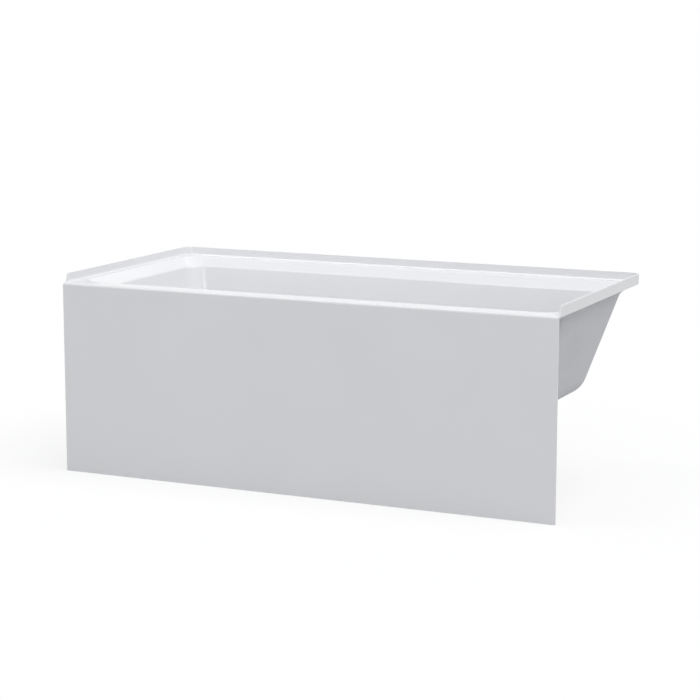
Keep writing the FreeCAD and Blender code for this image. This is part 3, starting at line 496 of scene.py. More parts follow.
# %% [markdown]
# ## Timber with eased edges
# A planed batten never has a knife edge: its corners are rounded by a millimetre or two, and that
# rounding is what catches the light. A cube scaled to the solid's own box, then bevelled, is all it
# takes. The two helpers for that serve many of the later pieces too.

# %% Battens, posts and the board
TIMBER_EASE = 1.5 * MM
BOARD_EASE = 0.8 * MM


def block(size, middle=(0, 0, 0)):
    """A box of the given size round the given middle."""
    shape = bmesh.new()
    bmesh.ops.create_cube(shape, size=1.0)
    bmesh.ops.scale(shape, verts=shape.verts, vec=size)
    bmesh.ops.translate(shape, verts=shape.verts, vec=middle)
    return shape


def soften(shape, parts, size, segments=2, affect="EDGES"):
    """Rounds some edges or, when affect is VERTICES, some corners of a line."""
    bmesh.ops.bevel(shape, geom=parts, offset=size, offset_type="OFFSET", segments=segments,
                    profile=0.5, affect=affect, material=-1)


def eased_block(node, ease):
    low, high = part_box(node)
    shape = block(high - low, (low + high) / 2)
    soften(shape, shape.edges[:], ease)
    return shape


TIMBER = {
    "rim_batten": pine_along, "foot_batten": pine_along, "apron_post_left": pine_upright,
    "apron_post_middle": pine_upright, "apron_post_right": pine_upright,
}
for node, material in TIMBER.items():
    make_piece(f"{node}_planed", eased_block(node, TIMBER_EASE), "tub", material, [node])
board = eased_block("base_board", BOARD_EASE)
make_piece("base_board_sanded", board, "tub", plywood, ["base_board"])

# %% [markdown]
# ## Folded steel
# The rails, bars and brackets are strip, bent on a press, so their outer corners are round by more
# than the strip's thickness. The middle line of the section is drawn, its corners are bevelled, and
# the line is extruded along the piece. A Solidify modifier then gives the strip its thickness evenly
# to both sides.

# %% Channels and brackets
CHANNEL_WALL = 2.0 * MM
CHANNEL_BEND = 2.5 * MM
BRACKET_WALL = 3.0 * MM
BRACKET_BEND = 3.5 * MM


def points_of(geometry):
    return [each for each in geometry if isinstance(each, bmesh.types.BMVert)]


def folded_strip(path, travel, rounding):
    """An open line of points, its inner corners rounded, drawn out along a vector."""
    shape = bmesh.new()
    verts = [shape.verts.new(point) for point in path]
    for start, end in zip(verts, verts[1:]):
        shape.edges.new((start, end))
    soften(shape, verts[1:-1], rounding, 4, "VERTICES")
    drawn = bmesh.ops.extrude_edge_only(shape, edges=shape.edges[:])["geom"]
    bmesh.ops.translate(shape, verts=points_of(drawn), vec=travel)
    return shape


def steel_piece(node, suffix, shape, wall):
    """The folded strip as a piece, with its wall on both sides of the drawn line."""
    strip = make_piece(f"{node}_{suffix}", shape, "tub", galvanised, [node],
                       turn_out=False)
    modifier = strip.modifiers.new("strip", "SOLIDIFY")
    modifier.thickness = wall
    modifier.offset = 0.0


def channel_path(node, along):
    """The middle line of an upside-down channel, at its low end, and the vector along it."""
    low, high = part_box(node)
    inset = CHANNEL_WALL / 2
    across = "y" if along == "x" else "x"
    near = getattr(low, across) + inset
    far = getattr(high, across) - inset
    top = high.z - inset
    corners = [(near, low.z), (near, top), (far, top), (far, low.z)]
    if along == "x":
        return [(low.x, side, height) for side, height in corners], (high.x - low.x, 0, 0)
    return [(side, low.y, height) for side, height in corners], (0, high.y - low.y, 0)


CHANNELS = {"rail_front": "x", "rail_back": "x", "cross_bar_left": "y", "cross_bar_right": "y"}
for node, along in CHANNELS.items():
    path, travel = channel_path(node, along)
    steel_piece(node, "folded", folded_strip(path, travel, CHANNEL_BEND), CHANNEL_WALL)
for side in ("left", "right"):
    low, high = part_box(f"apron_bracket_{side}")
    near = low.y + BRACKET_WALL / 2
    foot = low.z + BRACKET_WALL / 2
    path = [(low.x, near, high.z), (low.x, near, foot), (low.x, high.y, foot)]
    strip = folded_strip(path, (high.x - low.x, 0, 0), BRACKET_BEND)
    steel_piece(f"apron_bracket_{side}", "bent", strip, BRACKET_WALL)

# %% [markdown]
# ## Turned pieces
# Anything made on a lathe is a profile spun about an axis. The corners of the profile are bevelled
# before the spin, so every edge of the finished piece is round. A full spin has to merge its last step
# with its first.


# %% Spin a profile
def turn(profile, rounding=(), steps=64, closed=True):
    """A (radius, height) profile in metres, spun about Z. Rounding gives a radius for some corners."""
    shape = bmesh.new()
    verts = [shape.verts.new((radius, 0, height)) for radius, height in profile]
    ends = verts[1:] + verts[:1] if closed else verts[1:]
    for start, end in zip(verts, ends):
        shape.edges.new((start, end))
    for number, radius in dict(rounding).items():
        soften(shape, [verts[number]], radius, 4, "VERTICES")
    bmesh.ops.spin(shape, geom=shape.verts[:] + shape.edges[:], cent=(0, 0, 0), axis=(0, 0, 1),
                   dvec=(0, 0, 0), angle=2 * math.pi, steps=steps, use_merge=True, use_duplicate=False)
    bmesh.ops.remove_doubles(shape, verts=shape.verts, dist=WELD_GAP / 2)
    return shape


def moved(x, y, z):
    return Matrix.Translation((x, y, z))


def about_z(angle):
    return Matrix.Rotation(angle, 4, "Z")


# %% [markdown]
# ## Threaded rods
# A screw thread is a spin that also climbs. One V of the profile is spun once round, and each step
# moves it up by a fraction of the pitch, so the end of one turn meets the start of the next. That one
# turn is then copied up the rod. The rods, their nuts and their hexagon are zinc plated.

# %% Rods of the levelling feet
ROD_RADIUS = 6.0 * MM
ROD_CHAMFER = 1.2 * MM
PITCH = 1.75 * MM
THREAD_DEPTH = 0.9 * MM
THREAD_CREST = (0.42, 0.58)
THREAD_STEPS = 20
KEY_FLATS = 17.0 * MM
KEY_HEIGHT = 7.0 * MM
KEY_FOOT = 24.3 * MM
KEY_CHAMFER = 0.6 * MM


def hexagon(flats, height, chamfer):
    """A hexagon with points along X, standing on z = 0, its upper and lower edges chamfered."""
    shape = bmesh.new()
    radius = flats / math.sqrt(3)
    bmesh.ops.create_cone(shape, cap_ends=True, segments=6, radius1=radius, radius2=radius, depth=height)
    bmesh.ops.rotate(shape, verts=shape.verts, matrix=Matrix.Rotation(math.radians(90), 3, "Z"))
    bmesh.ops.translate(shape, verts=shape.verts, vec=(0, 0, height / 2))
    level = [edge for edge in shape.edges if abs(edge.verts[0].co.z - edge.verts[1].co.z) < MM / 10]
    soften(shape, level, chamfer)
    return shape


def one_turn():
    """One turn of the thread: the steps climb by one pitch, so its end meets the next turn's start."""
    root = ROD_RADIUS - THREAD_DEPTH
    rise, fall = (PITCH * share for share in THREAD_CREST)
    ridge = [(root, 0), (ROD_RADIUS, rise), (ROD_RADIUS, fall), (root, PITCH)]
    thread = bmesh.new()
    flank = [thread.verts.new((reach, 0, height)) for reach, height in ridge]
    for start, end in zip(flank, flank[1:]):
        thread.edges.new((start, end))
    bmesh.ops.spin(thread, geom=thread.verts[:] + thread.edges[:], cent=(0, 0, 0), axis=(0, 0, 1),
                   dvec=(0, 0, PITCH / THREAD_STEPS), angle=2 * math.pi, steps=THREAD_STEPS,
                   use_merge=False, use_duplicate=False)
    return thread


def threaded_rod(length, key_lift):
    root = ROD_RADIUS - THREAD_DEPTH
    rod = turn([(0, 0), (root - ROD_CHAMFER, 0), (root, ROD_CHAMFER), (root, length - ROD_CHAMFER),
                (root - ROD_CHAMFER, length), (0, length)], steps=24, closed=False)
    thread = one_turn()
    for number in range(int((length - 2 * ROD_CHAMFER) / PITCH) - 1):
        add_shape(rod, thread, moved(0, 0, ROD_CHAMFER + number * PITCH))
    thread.free()
    key = hexagon(KEY_FLATS, KEY_HEIGHT, KEY_CHAMFER)
    add_shape(rod, key, moved(0, 0, key_lift))
    key.free()
    return rod


FEET = range(1, 5)
for number in FEET:
    low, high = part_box(f"foot_{number}_rod")
    rod = threaded_rod(high.z - low.z, KEY_FOOT - low.z)
    bmesh.ops.translate(rod, verts=rod.verts, vec=((low.x + high.x) / 2, (low.y + high.y) / 2, low.z))
    make_piece(f"foot_{number}_threaded_rod", rod, f"rod_{number}", bright_zinc,
               [f"foot_{number}_rod"])

# %% [markdown]
# ## Nuts
# A nut is a hexagon with its corners turned away at both faces. Each one takes the place of a plain
# solid in the frame, so its place and size come from there.

# %% Weld nuts and lock nuts
NUT_CHAMFER = 0.9 * MM


def nut_set(node):
    shape = bmesh.new()
    for middle, measure in solids_of(node):
        nut = hexagon(measure.y, measure.z, NUT_CHAMFER)
        add_shape(shape, nut, moved(middle.x, middle.y, middle.z - measure.z / 2))
        nut.free()
    return shape


for node in ("weld_nuts", "lock_nuts"):
    make_piece(f"{node}_chamfered", nut_set(node), "tub", bright_zinc, [node])

# %% [markdown]
# ## Feet
# The pad spreads the load: a turned plate with a neck, stiffened by ribs that run from the neck to the
# rim. The rib is one small block with its outer upper edge pulled down, and its copies are turned
# round the neck.

# %% Foot pads
PAD_RIBS = 8
PAD_EDGE = 6.0 * MM
PAD_LIP = (4.0 * MM, 5.0 * MM)
PAD_NECK = 12.0 * MM
PAD_BORE = 6.05 * MM
PAD_WEB = 5.0 * MM
RIB_WIDTH = 2.4 * MM
RIB_RISE = 0.62
RIB_FOOT = 5.5 * MM
RIB_SUNK = 1.0 * MM
RIB_EASE = 0.4 * MM


def pad_rib(radius, top):
    """A rib along X, from inside the neck to just inside the rim, falling outwards."""
    start = PAD_NECK - RIB_SUNK
    reach = radius - 3 * MM - start
    height = top * RIB_RISE
    rib = block((reach, RIB_WIDTH, height), (start + reach / 2, 0, PAD_WEB + height / 2 - RIB_SUNK))
    outer = [vert for vert in rib.verts if vert.co.x > PAD_NECK and vert.co.z > PAD_WEB + height / 4]
    bmesh.ops.translate(rib, verts=outer, vec=(0, 0, RIB_FOOT - outer[0].co.z))
    soften(rib, rib.edges[:], RIB_EASE)
    return rib


def foot_pad(node):
    low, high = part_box(node)
    middle = (low + high) / 2
    radius = (high.x - low.x) / 2
    top = high.z - low.z
    shape = turn([(0, 0), (radius, 0), (radius, PAD_EDGE), (radius - PAD_LIP[0], PAD_EDGE),
                  (radius - PAD_LIP[1], PAD_WEB), (PAD_NECK, PAD_WEB), (PAD_NECK, top),
                  (PAD_BORE, top), (PAD_BORE, PAD_WEB), (0, PAD_WEB)],
                 {1: 0.8 * MM, 2: 1.2 * MM, 6: 1.0 * MM}, closed=False)
    rib = pad_rib(radius, top)
    for number in range(PAD_RIBS):
        add_shape(shape, rib, about_z(2 * math.pi * number / PAD_RIBS))
    rib.free()
    bmesh.ops.translate(shape, verts=shape.verts, vec=(middle.x, middle.y, low.z))
    return shape


for number in FEET:
    node = f"foot_{number}_pad"
    make_piece(f"foot_{number}_ribbed_pad", foot_pad(node), f"foot_{number}",
               foot_plastic, [node])

# %% [markdown]
# ## Screws with a cross recess
# A pan head is a flattened dome. Its cross recess is cut with a Boolean, one arm after the other:
# each arm is a thin tapered block. Both arms in one tool would cross themselves, and a Boolean takes
# nothing out with such a tool. One screw is made and then copied to each place, turned a little
# differently each time, as a driver would leave them.

# %% One screw, many places
BLADE_TAPER = 0.55
HEAD_RADIUS = 4.5 * MM
HEAD_HEIGHT = 2.6 * MM
SHANK_RADIUS = 2.25 * MM
POINT_LENGTH = 2.0 * MM


def recess_blade(length, width, depth, lift):
    """One arm of the cross: a block, narrower at its foot, with its middle at the height of lift."""
    tool = block((length, width, depth * 2))
    lower = [vert for vert in tool.verts if vert.co.z < 0]
    bmesh.ops.scale(tool, verts=lower, vec=(BLADE_TAPER, BLADE_TAPER, 1.0))
    bmesh.ops.translate(tool, verts=tool.verts, vec=(0, 0, lift))
    return tool


def carve(shape, tool):
    """Takes one closed bmesh out of another with a Boolean modifier, and gives back the result."""
    scratch = []
    for name, each in (("whole", shape), ("tool", tool)):
        bmesh.ops.recalc_face_normals(each, faces=each.faces)
        mesh = bpy.data.meshes.new(name)
        each.to_mesh(mesh)
        each.free()
        scratch.append(bpy.data.objects.new(name, mesh))
        bpy.context.scene.collection.objects.link(scratch[-1])
    modifier = scratch[0].modifiers.new("carve", "BOOLEAN")
    modifier.object = scratch[1]
    modifier.solver = "EXACT"
    evaluated = scratch[0].evaluated_get(bpy.context.evaluated_depsgraph_get())
    result = bmesh.new()
    result.from_mesh(evaluated.to_mesh())
    evaluated.to_mesh_clear()
    for each in scratch:
        mesh = each.data
        bpy.data.objects.remove(each)
        bpy.data.meshes.remove(mesh)
    return result


def pan_screw(head_radius, head_height, shank_radius, length):
    """A screw along Z: its head's seat is on z = 0, the head points up and the shank down."""
    shank = length - POINT_LENGTH
    body = turn([(0, -length), (shank_radius, -shank), (shank_radius, 0), (head_radius, 0),
                 (head_radius, head_height * 0.45), (head_radius * 0.62, head_height), (0, head_height)],
                {4: head_height * 0.3, 5: head_height * 0.3}, steps=32, closed=False)
    across = head_radius * 0.24
    along = head_radius * 1.24
    for arm in ((along, across), (across, along)):
        body = carve(body, recess_blade(*arm, head_height * 0.55, head_height))
    return body


def screw_set(node, towards):
    """Screws in place of a node's solids. Towards is the way the heads point."""
    shape = bmesh.new()
    axis = max(range(3), key=lambda each: abs(towards[each]))
    point = Vector(towards)
    turn_up = point.to_track_quat("Z", "Y").to_matrix().to_4x4()
    places = solids_of(node)
    long = places[0][1][axis]
    screw = pan_screw(HEAD_RADIUS, HEAD_HEIGHT, SHANK_RADIUS, long - HEAD_HEIGHT)
    for number, (middle, _) in enumerate(places):
        seat = middle + point * (long / 2 - HEAD_HEIGHT)
        add_shape(shape, screw, moved(*seat) @ turn_up @ about_z(0.35 + 1.1 * number))
    screw.free()
    return shape


HEADS_POINT = {"board_screws": (0, 0, -1), "bar_screws": (0, 0, 1), "post_screws": (0, 1, 0)}
for node, towards in HEADS_POINT.items():
    make_piece(f"{node}_cross_head", screw_set(node, towards), "tub", bright_zinc, [node])

# %% [markdown]
# ## Weld beads
# The long rails are welded to the cross bars, and a hand-made weld is a row of small overlapping
# drops. Small spheres along a short line, half sunk in the steel, give it, with a little difference
# from drop to drop.

# %% Welds between the rails and the bars
BEAD_RADIUS = 2.4 * MM
BEAD_STEP = 3.0 * MM
BEAD_MARGIN = 7.0 * MM
BEAD_SPREAD = 0.16
BEAD_NOISE = 900


def weld_beads():
    shape = bmesh.new()
    for bar in ("cross_bar_left", "cross_bar_right"):
        bar_low, bar_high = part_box(bar)
        count = int((bar_high.x - bar_low.x - 2 * BEAD_MARGIN) / BEAD_STEP)
        edges = [corner.y for rail in ("rail_front", "rail_back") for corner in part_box(rail)]
        for y in edges:
            for number in range(count + 1):
                x = bar_low.x + BEAD_MARGIN + number * BEAD_STEP
                size = 1 + BEAD_SPREAD * noise.noise(Vector((x, y, 0)) * BEAD_NOISE)
                bead = bmesh.ops.create_icosphere(shape, subdivisions=2, radius=BEAD_RADIUS * size)
                bmesh.ops.translate(shape, verts=bead["verts"], vec=(x, y, bar_high.z))
    return shape


make_piece("cradle_welds", weld_beads(), "tub", galvanised)

# %% [markdown]
# ## Slip nuts
# A slip nut squeezes a washer round the pipe and is tightened by hand, so it has lugs all round. The
# ring is turned, and a bevelled lug is copied round it.

# %% Slip nuts of the waste
SLIP_BORE = 19.35 * MM
SLIP_EASE = {0: 0.6 * MM, 1: 1.2 * MM, 2: 1.2 * MM, 3: 0.6 * MM}
LUGS = 12
LUG_PROUD = 2.2 * MM
LUG_WIDTH = 3.4 * MM
LUG_MARGIN = 3.0 * MM
LUG_EASE = 0.9 * MM


def slip_nut(radius, height):
    body = radius - LUG_PROUD
    shape = turn([(SLIP_BORE, 0), (body, 0), (body, height), (SLIP_BORE, height)], SLIP_EASE, steps=72)
    lug = block((LUG_PROUD * 2, LUG_WIDTH, height - LUG_MARGIN), (radius - LUG_PROUD * 1.1, 0, height / 2))
    soften(lug, lug.edges[:], LUG_EASE, 3)
    for number in range(LUGS):
        add_shape(shape, lug, about_z(2 * math.pi * number / LUGS))
    lug.free()
    return shape


def slip_nut_set():
    shape = bmesh.new()
    for middle, measure in solids_of("slip_nuts"):
        axis = min(range(3), key=lambda each: measure[each])
        nut = slip_nut(max(measure) / 2, measure[axis])
        lean = Matrix.Identity(4) if axis == 2 else Matrix.Rotation(math.radians(90), 4, "Y")
        add_shape(shape, nut, moved(*middle) @ lean @ moved(0, 0, -measure[axis] / 2))
        nut.free()
    return shape


make_piece("slip_nuts_lugged", slip_nut_set(), "tub", nut_plastic, ["slip_nuts"])

# %% [markdown]
# ## Drain and stopper
# The chrome flange has a soft rim and a throat that rolls down into the barrel, so that water runs in
# without a step. A cross in the barrel carries the stopper's post. The cap is a shallow dome with a
# rounded edge and one fine turned groove, and slides on the post.

# %% Chrome flange, barrel and cross
CHROME_SHARP = 40.0
FLANGE_RADIUS = 38.0 * MM
FLANGE_WALL = 3.0 * MM
FLANGE_RIM = 1.0 * MM
FLANGE_TOP = (34.5 * MM, 22.5 * MM)
BARREL_RADIUS = 23.0 * MM
BARREL_BORE = 19.5 * MM
THROAT_DROP = 1.0 * MM
CROSS_TOP = -17.0 * MM
CROSS_ARM = (42.0 * MM, 4.0 * MM, 6.0 * MM)
CROSS_EASE = 0.8 * MM
SLEEVE_RADIUS = 6.5 * MM
SLEEVE_EASE = 0.5 * MM


def drain_cross():
    """Two arms and a boss in their middle, as high as the arms."""
    shape = bmesh.new()
    arm = block(CROSS_ARM)
    soften(arm, arm.edges[:], CROSS_EASE)
    for angle in (0, math.radians(90)):
        add_shape(shape, arm, about_z(angle) @ moved(0, 0, CROSS_TOP - CROSS_ARM[2] / 2))
    arm.free()
    foot = CROSS_TOP - CROSS_ARM[2]
    boss = turn([(0, foot), (SLEEVE_RADIUS, foot), (SLEEVE_RADIUS, CROSS_TOP), (0, CROSS_TOP)],
                {1: SLEEVE_EASE, 2: SLEEVE_EASE}, steps=32, closed=False)
    add_shape(shape, boss)
    boss.free()
    return shape


def drain_flange():
    low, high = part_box("drain_flange")
    middle = (low + high) / 2
    seat = high.z - FLANGE_WALL
    bottom = low.z - seat
    shape = turn([(BARREL_BORE, bottom), (BARREL_RADIUS, bottom), (BARREL_RADIUS, 0), (FLANGE_RADIUS, 0),
                  (FLANGE_RADIUS, FLANGE_RIM), (FLANGE_TOP[0], FLANGE_WALL),
                  (FLANGE_TOP[1], FLANGE_WALL), (BARREL_BORE, -THROAT_DROP)],
                 {4: 0.8 * MM, 5: 1.6 * MM, 6: 1.6 * MM, 7: 2.0 * MM}, steps=96)
    cross = drain_cross()
    add_shape(shape, cross)
    cross.free()
    bmesh.ops.translate(shape, verts=shape.verts, vec=(middle.x, middle.y, seat))
    return shape


make_piece("drain_flange_chromed", drain_flange(), "tub", chrome, ["drain_flange"],
           sharp=CHROME_SHARP)

# %% [markdown]
# The cap is one with its sleeve, and the post's bore ends under the dome. The groove is three points
# of the profile: its outer edge, its bottom and its inner edge.

# %% Domed stopper
SLEEVE_BORE = 4.05 * MM
CAP_HEIGHT = 7.0 * MM
CAP_EDGE = 4.0 * MM
GROOVE = ((0.78, 1.1 * MM), (0.75, 1.5 * MM), (0.72, 0.9 * MM))
CROWN = (0.4, 0.25 * MM)


def stopper_cap():
    low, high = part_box("stopper_cap")
    middle = (low + high) / 2
    radius = (high.x - low.x) / 2
    height = high.z - low.z
    under = height - CAP_HEIGHT
    dome = [(radius * share, height - drop) for share, drop in (*GROOVE, CROWN)]
    shape = turn([(0, under), (SLEEVE_BORE, under), (SLEEVE_BORE, 0), (SLEEVE_RADIUS, 0),
                  (SLEEVE_RADIUS, under), (radius, under), (radius, under + CAP_EDGE), *dome, (0, height)],
                 {3: SLEEVE_EASE, 5: 0.6 * MM, 6: 1.8 * MM, 7: 0.3 * MM, 9: 0.3 * MM, 10: 3.0 * MM},
                 steps=96, closed=False)
    bmesh.ops.translate(shape, verts=shape.verts, vec=(middle.x, middle.y, low.z))
    return shape


make_piece("stopper_cap_domed", stopper_cap(), "stopper", chrome, ["stopper_cap"],
           sharp=CHROME_SHARP)

# %% [markdown]
# ## Overflow plate
# The plate is a pressed disc with a sloping edge. Water enters through a slot at its foot, where it
# isn't seen from above. The disc is turned and the slot is cut with the Boolean that cut the screws.
# It lies on the end wall, which leans by six degrees, so plate and screws are made flat and then
# turned together to face the well.

# %% Cover plate and its two screws
END_WALL_LEAN = 6.0
PLATE_RADIUS = 37.0 * MM
PLATE_RISE = 9.0 * MM
PLATE_WALL = 1.5 * MM
PLATE_EDGE = 5.4 * MM
PLATE_SCREWS = 21.0 * MM
SLOT_BLOCK = (15.0 * MM, 29.6 * MM, 6.0 * MM)
SLOT_INSET = 3.6 * MM
SLOT_EASE = 1.2 * MM
PLATE_HEAD_RADIUS = 4.0 * MM
PLATE_HEAD_HEIGHT = 1.8 * MM
PLATE_SHANK_RADIUS = 2.0 * MM


def on_end_wall():
    """From flat on z = 0 to flat on the drain end's wall, with local X pointing down the wall."""
    low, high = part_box("overflow_plate")
    angle = math.radians(90 - END_WALL_LEAN)
    foot = Vector((low.x + PLATE_RADIUS * math.cos(angle), (low.y + high.y) / 2,
                   low.z + PLATE_RADIUS * math.sin(angle)))
    return moved(*foot) @ Matrix.Rotation(angle, 4, "Y")


def overflow_plate():
    inner = PLATE_RADIUS - PLATE_WALL
    under = PLATE_RISE - PLATE_WALL
    shape = turn([(0, under), (inner - PLATE_EDGE, under), (inner, under - PLATE_EDGE), (inner, 0),
                  (PLATE_RADIUS, 0), (PLATE_RADIUS, PLATE_RISE - PLATE_EDGE),
                  (PLATE_RADIUS - PLATE_EDGE, PLATE_RISE), (0, PLATE_RISE)],
                 {1: 2.0 * MM, 2: 1.0 * MM, 5: 1.4 * MM, 6: 2.6 * MM}, steps=96, closed=False)
    tool = block(SLOT_BLOCK, (PLATE_RADIUS - SLOT_INSET, 0, 0))
    lengthwise = [edge for edge in tool.edges if abs(edge.verts[0].co.x - edge.verts[1].co.x) > MM]
    soften(tool, lengthwise, SLOT_EASE, 3)
    return carve(shape, tool)


def overflow_screws():
    """Two screws, as long as their leaning solids: each end's slanting radius comes off the length."""
    low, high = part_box("overflow_screws")
    angle = math.radians(END_WALL_LEAN)
    slant = 2 * PLATE_SHANK_RADIUS * math.tan(angle)
    shank = (high.x - low.x) / math.cos(angle) - PLATE_HEAD_HEIGHT - slant
    screw = pan_screw(PLATE_HEAD_RADIUS, PLATE_HEAD_HEIGHT, PLATE_SHANK_RADIUS, shank)
    shape = bmesh.new()
    for side, spin in ((-1, 0.4), (1, 1.3)):
        add_shape(shape, screw, moved(0, side * PLATE_SCREWS, PLATE_RISE) @ about_z(spin))
    screw.free()
    return shape


for name, shape in (("overflow_plate", overflow_plate()), ("overflow_screws", overflow_screws())):
    bmesh.ops.transform(shape, matrix=on_end_wall(), verts=shape.verts)
    make_piece(f"{name}_chromed", shape, "tub", chrome, [name], sharp=CHROME_SHARP)

# %% [markdown]
# ## Rolled glass fibre behind the bath
# Seen from behind, the bath is a crust of glass and resin, rolled on by hand. The back of the well has
# its shape in the frame and only takes the finish. The apron's backing has an uneven face and edges
# that wander: a fine grid is laid over its outline, its ends and foot are pushed inwards by noise, and
# a copy of it is drawn out to the solid's depth and roughened.

# %% Backing of the apron
BACKING_GRID = 11.0 * MM
ROUGH_SIZE = 24.0 * MM
ROUGH_ENDS = 5.0 * MM
ROUGH_FOOT = 4.0 * MM
FACE_HOLLOW = 0.5
FACE_ROUGH = 0.6
FACE_DEEPEST = 1.6
BACKING_SHARP = 60.0


def roughness_at(vert):
    return noise.fractal(vert.co / ROUGH_SIZE, 1.0, 2.0, 3)


def apron_backing():
    low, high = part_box("apron_backing")
    span = high - low
    shape = bmesh.new()
    bmesh.ops.create_grid(shape, x_segments=round(span.x / BACKING_GRID),
                          y_segments=round(span.z / BACKING_GRID), size=0.5,
                          matrix=Matrix.Rotation(math.radians(90), 4, "X"))
    bmesh.ops.scale(shape, verts=shape.verts, vec=(span.x, 1, span.z))
    middle = (low + high) / 2
    bmesh.ops.translate(shape, verts=shape.verts, vec=(middle.x, low.y, middle.z))
    for vert in shape.verts:
        rough = abs(roughness_at(vert))
        if min(vert.co.x - low.x, high.x - vert.co.x) < MM:
            vert.co.x += (1 if vert.co.x < 0 else -1) * rough * ROUGH_ENDS
        if vert.co.z - low.z < MM:
            vert.co.z += rough * ROUGH_FOOT
    rear = bmesh.ops.extrude_face_region(shape, geom=shape.faces[:], use_keep_orig=True)["geom"]
    for vert in points_of(rear):
        hollow = FACE_HOLLOW + FACE_ROUGH * roughness_at(vert)
        vert.co.y = high.y - min(max(hollow, 0.0), FACE_DEEPEST) * MM
    return shape


make_piece("apron_backing_rolled", apron_backing(), "tub", glass_fibre,
           ["apron_backing"], sharp=BACKING_SHARP)
for slot in NODES["basin_laminate"].material_slots:
    slot.material = glass_fibre

# %% [markdown]
# ## Floor and backdrop
# The bath stands in a white studio. The light that leaves the floor lights the bath from below, and a
# mid-grey floor gives as much of it as the photograph shows. The camera sees the same floor as white
# paper that carries a soft shadow, lifted towards white. Light Path tells the two apart. Further away
# the floor is plain white, as the backdrop is.

# %% Studio floor
FLOOR_SIZE = 40.0
FLOOR_COLOUR = (0.45, 0.45, 0.45, 1.0)
WHITE = (1.0, 1.0, 1.0, 1.0)
FLOOR_GAP = 0.4 * MM
SHADOW_FADE = (0.95, 1.7)
SHADOW_LIFT = 0.79


def seen_directly(tree):
    """1 where the camera, a reflection or a clear piece shows this, and 0 where it only gives light."""
    path = tree.nodes.new("ShaderNodeLightPath").outputs
    seen = Wire(tree, path["Is Camera Ray"])
    for other in ("Is Glossy Ray", "Is Transmission Ray"):
        seen = seen.math("MAXIMUM", Wire(tree, path[other]))
    return seen


def make_floor():
    shape = bmesh.new()
    bmesh.ops.create_grid(shape, x_segments=1, y_segments=1, size=FLOOR_SIZE / 2)
    mesh = bpy.data.meshes.new("studio_floor")
    shape.to_mesh(mesh)
    shape.free()
    mesh.transform(moved(0, 0, -FLOOR_GAP))
    floor = bpy.data.objects.new("studio_floor", mesh)
    bpy.context.scene.collection.objects.link(floor)
    material = bpy.data.materials.new("studio_floor")
    material.use_nodes = True
    tree = material.node_tree
    tree.nodes.clear()
    seen = seen_directly(tree)
    place = seen.node("ShaderNodeTexCoord", out=3)
    away = seen.node("ShaderNodeVectorMath", {"operation": "LENGTH"}, {0: place}, 1)
    lift = step_up(away, *SHADOW_FADE, SHADOW_LIFT, 1.0)
    grey = seen.node("ShaderNodeBsdfDiffuse", (), {"Color": FLOOR_COLOUR})
    paper = seen.node("ShaderNodeBsdfDiffuse", (), {"Color": WHITE})
    white = seen.node("ShaderNodeEmission", (), {"Color": WHITE, "Strength": 1.0})
    shown = seen.node("ShaderNodeMixShader", (), {0: lift, 1: paper, 2: white})
    mixed = seen.node("ShaderNodeMixShader", (), {0: seen, 1: grey, 2: shown})
    output = tree.nodes.new("ShaderNodeOutputMaterial")
    tree.links.new(mixed.socket, output.inputs["Surface"])
    mesh.materials.append(material)
    print("floor", FLOOR_SIZE, "m wide, lifted to white by", SHADOW_LIFT)


make_floor()

# %% [markdown]
# ## Light
# The photograph has very even light: the apron is one tone from end to end. A lamp close by would fall
# off along a bath of a metre and a half, so each soft light here is a Sun, whose strength is the same
# everywhere, with a wide disc for soft shadows. One comes from the front, one from high on the right,
# one between them and one from above, and a weak one fills the back. The room gives the rest evenly.
# A narrower one stands where the long rounded edges mirror it to the camera, for their bright lines.

# %% World and soft lights
ROOM_COLOUR = (0.945, 0.965, 1.0, 1.0)
ROOM_LEVEL = 0.45
SOFT_DISC = 28.0
EDGE_DISC = 16.0
LAMP_DISTANCE = 3.0
LAMPS = {
    # where it comes from, watts per square metre, and the width of its disc in degrees
    "front": ((0.0, -1.0, 0.12), 0.63, SOFT_DISC),
    "right": ((0.9, 0.0, 1.0), 0.70, SOFT_DISC),
    "corner": ((0.5, -0.5, 0.8), 0.36, SOFT_DISC),
    "above": ((0.2, 0.2, 1.0), 0.60, SOFT_DISC),
    "edges": ((-0.41, -0.15, 0.9), 0.24, EDGE_DISC),
    "back": ((0.0, 1.0, 1.0), 0.08, SOFT_DISC),
}


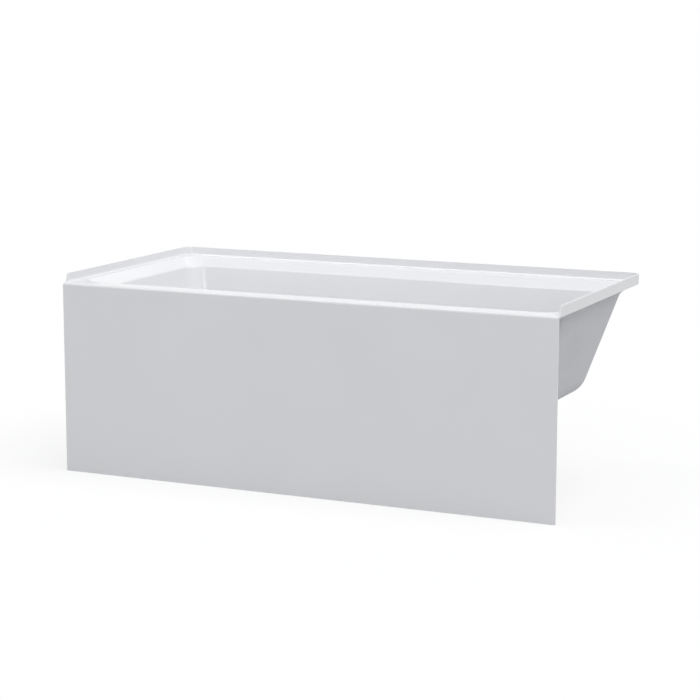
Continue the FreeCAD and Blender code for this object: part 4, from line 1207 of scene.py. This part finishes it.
def make_world():
    world = bpy.data.worlds.new("studio")
    world.use_nodes = True
    tree = world.node_tree
    tree.nodes.clear()
    seen = seen_directly(tree)
    room = seen.node("ShaderNodeBackground", (), {"Color": ROOM_COLOUR, "Strength": ROOM_LEVEL})
    white = seen.node("ShaderNodeBackground", (), {"Color": WHITE, "Strength": 1.0})
    mixed = seen.node("ShaderNodeMixShader", (), {0: seen, 1: room, 2: white})
    output = tree.nodes.new("ShaderNodeOutputWorld")
    tree.links.new(mixed.socket, output.inputs["Surface"])
    bpy.context.scene.world = world


def soft_light(name, towards, strength, disc):
    """An even light that comes from the given direction."""
    lamp = bpy.data.lights.new(name, "SUN")
    lamp.angle = math.radians(disc)
    lamp.energy = strength
    holder = bpy.data.objects.new(name, lamp)
    bpy.context.scene.collection.objects.link(holder)
    holder.location = Vector(towards) * LAMP_DISTANCE
    holder.rotation_euler = Vector(towards).to_track_quat("Z", "Y").to_euler()
    print(name, "gives", strength, "W per square metre")


make_world()
for name, lamp in LAMPS.items():
    soft_light(f"soft_light_{name}", *lamp)

# %% [markdown]
# ## Camera
# The photograph was taken from well back and a little to the right, with a long lens, so the long
# edges converge very little. The camera stands at that viewing angle and looks slightly down.

# %% The photograph's viewpoint
CAMERA_AT = (2.49097, -5.42900, 1.39547)
CAMERA_RIGHT = (0.9083, 0.4183, 0.0008)
CAMERA_UP = (-0.0722, 0.1548, 0.9853)
LENS = 105.90
SENSOR = 36.0
FAR_CLIP = 100.0


def make_camera():
    data = bpy.data.cameras.new("camera")
    data.lens = LENS
    data.sensor_width = SENSOR
    data.sensor_fit = "HORIZONTAL"
    data.clip_end = FAR_CLIP
    camera = bpy.data.objects.new("camera", data)
    bpy.context.scene.collection.objects.link(camera)
    right = Vector(CAMERA_RIGHT).normalized()
    back = right.cross(Vector(CAMERA_UP)).normalized()
    up = back.cross(right)
    turned = Matrix((right, up, back)).transposed()
    camera.rotation_euler = turned.to_euler()
    camera.location = CAMERA_AT
    bpy.context.scene.camera = camera
    bpy.context.scene.view_settings.view_transform = "Standard"
    return camera


view = make_camera().rotation_euler.to_matrix() @ Vector((0, 0, -1))
print("camera looks along", [round(value, 3) for value in view])
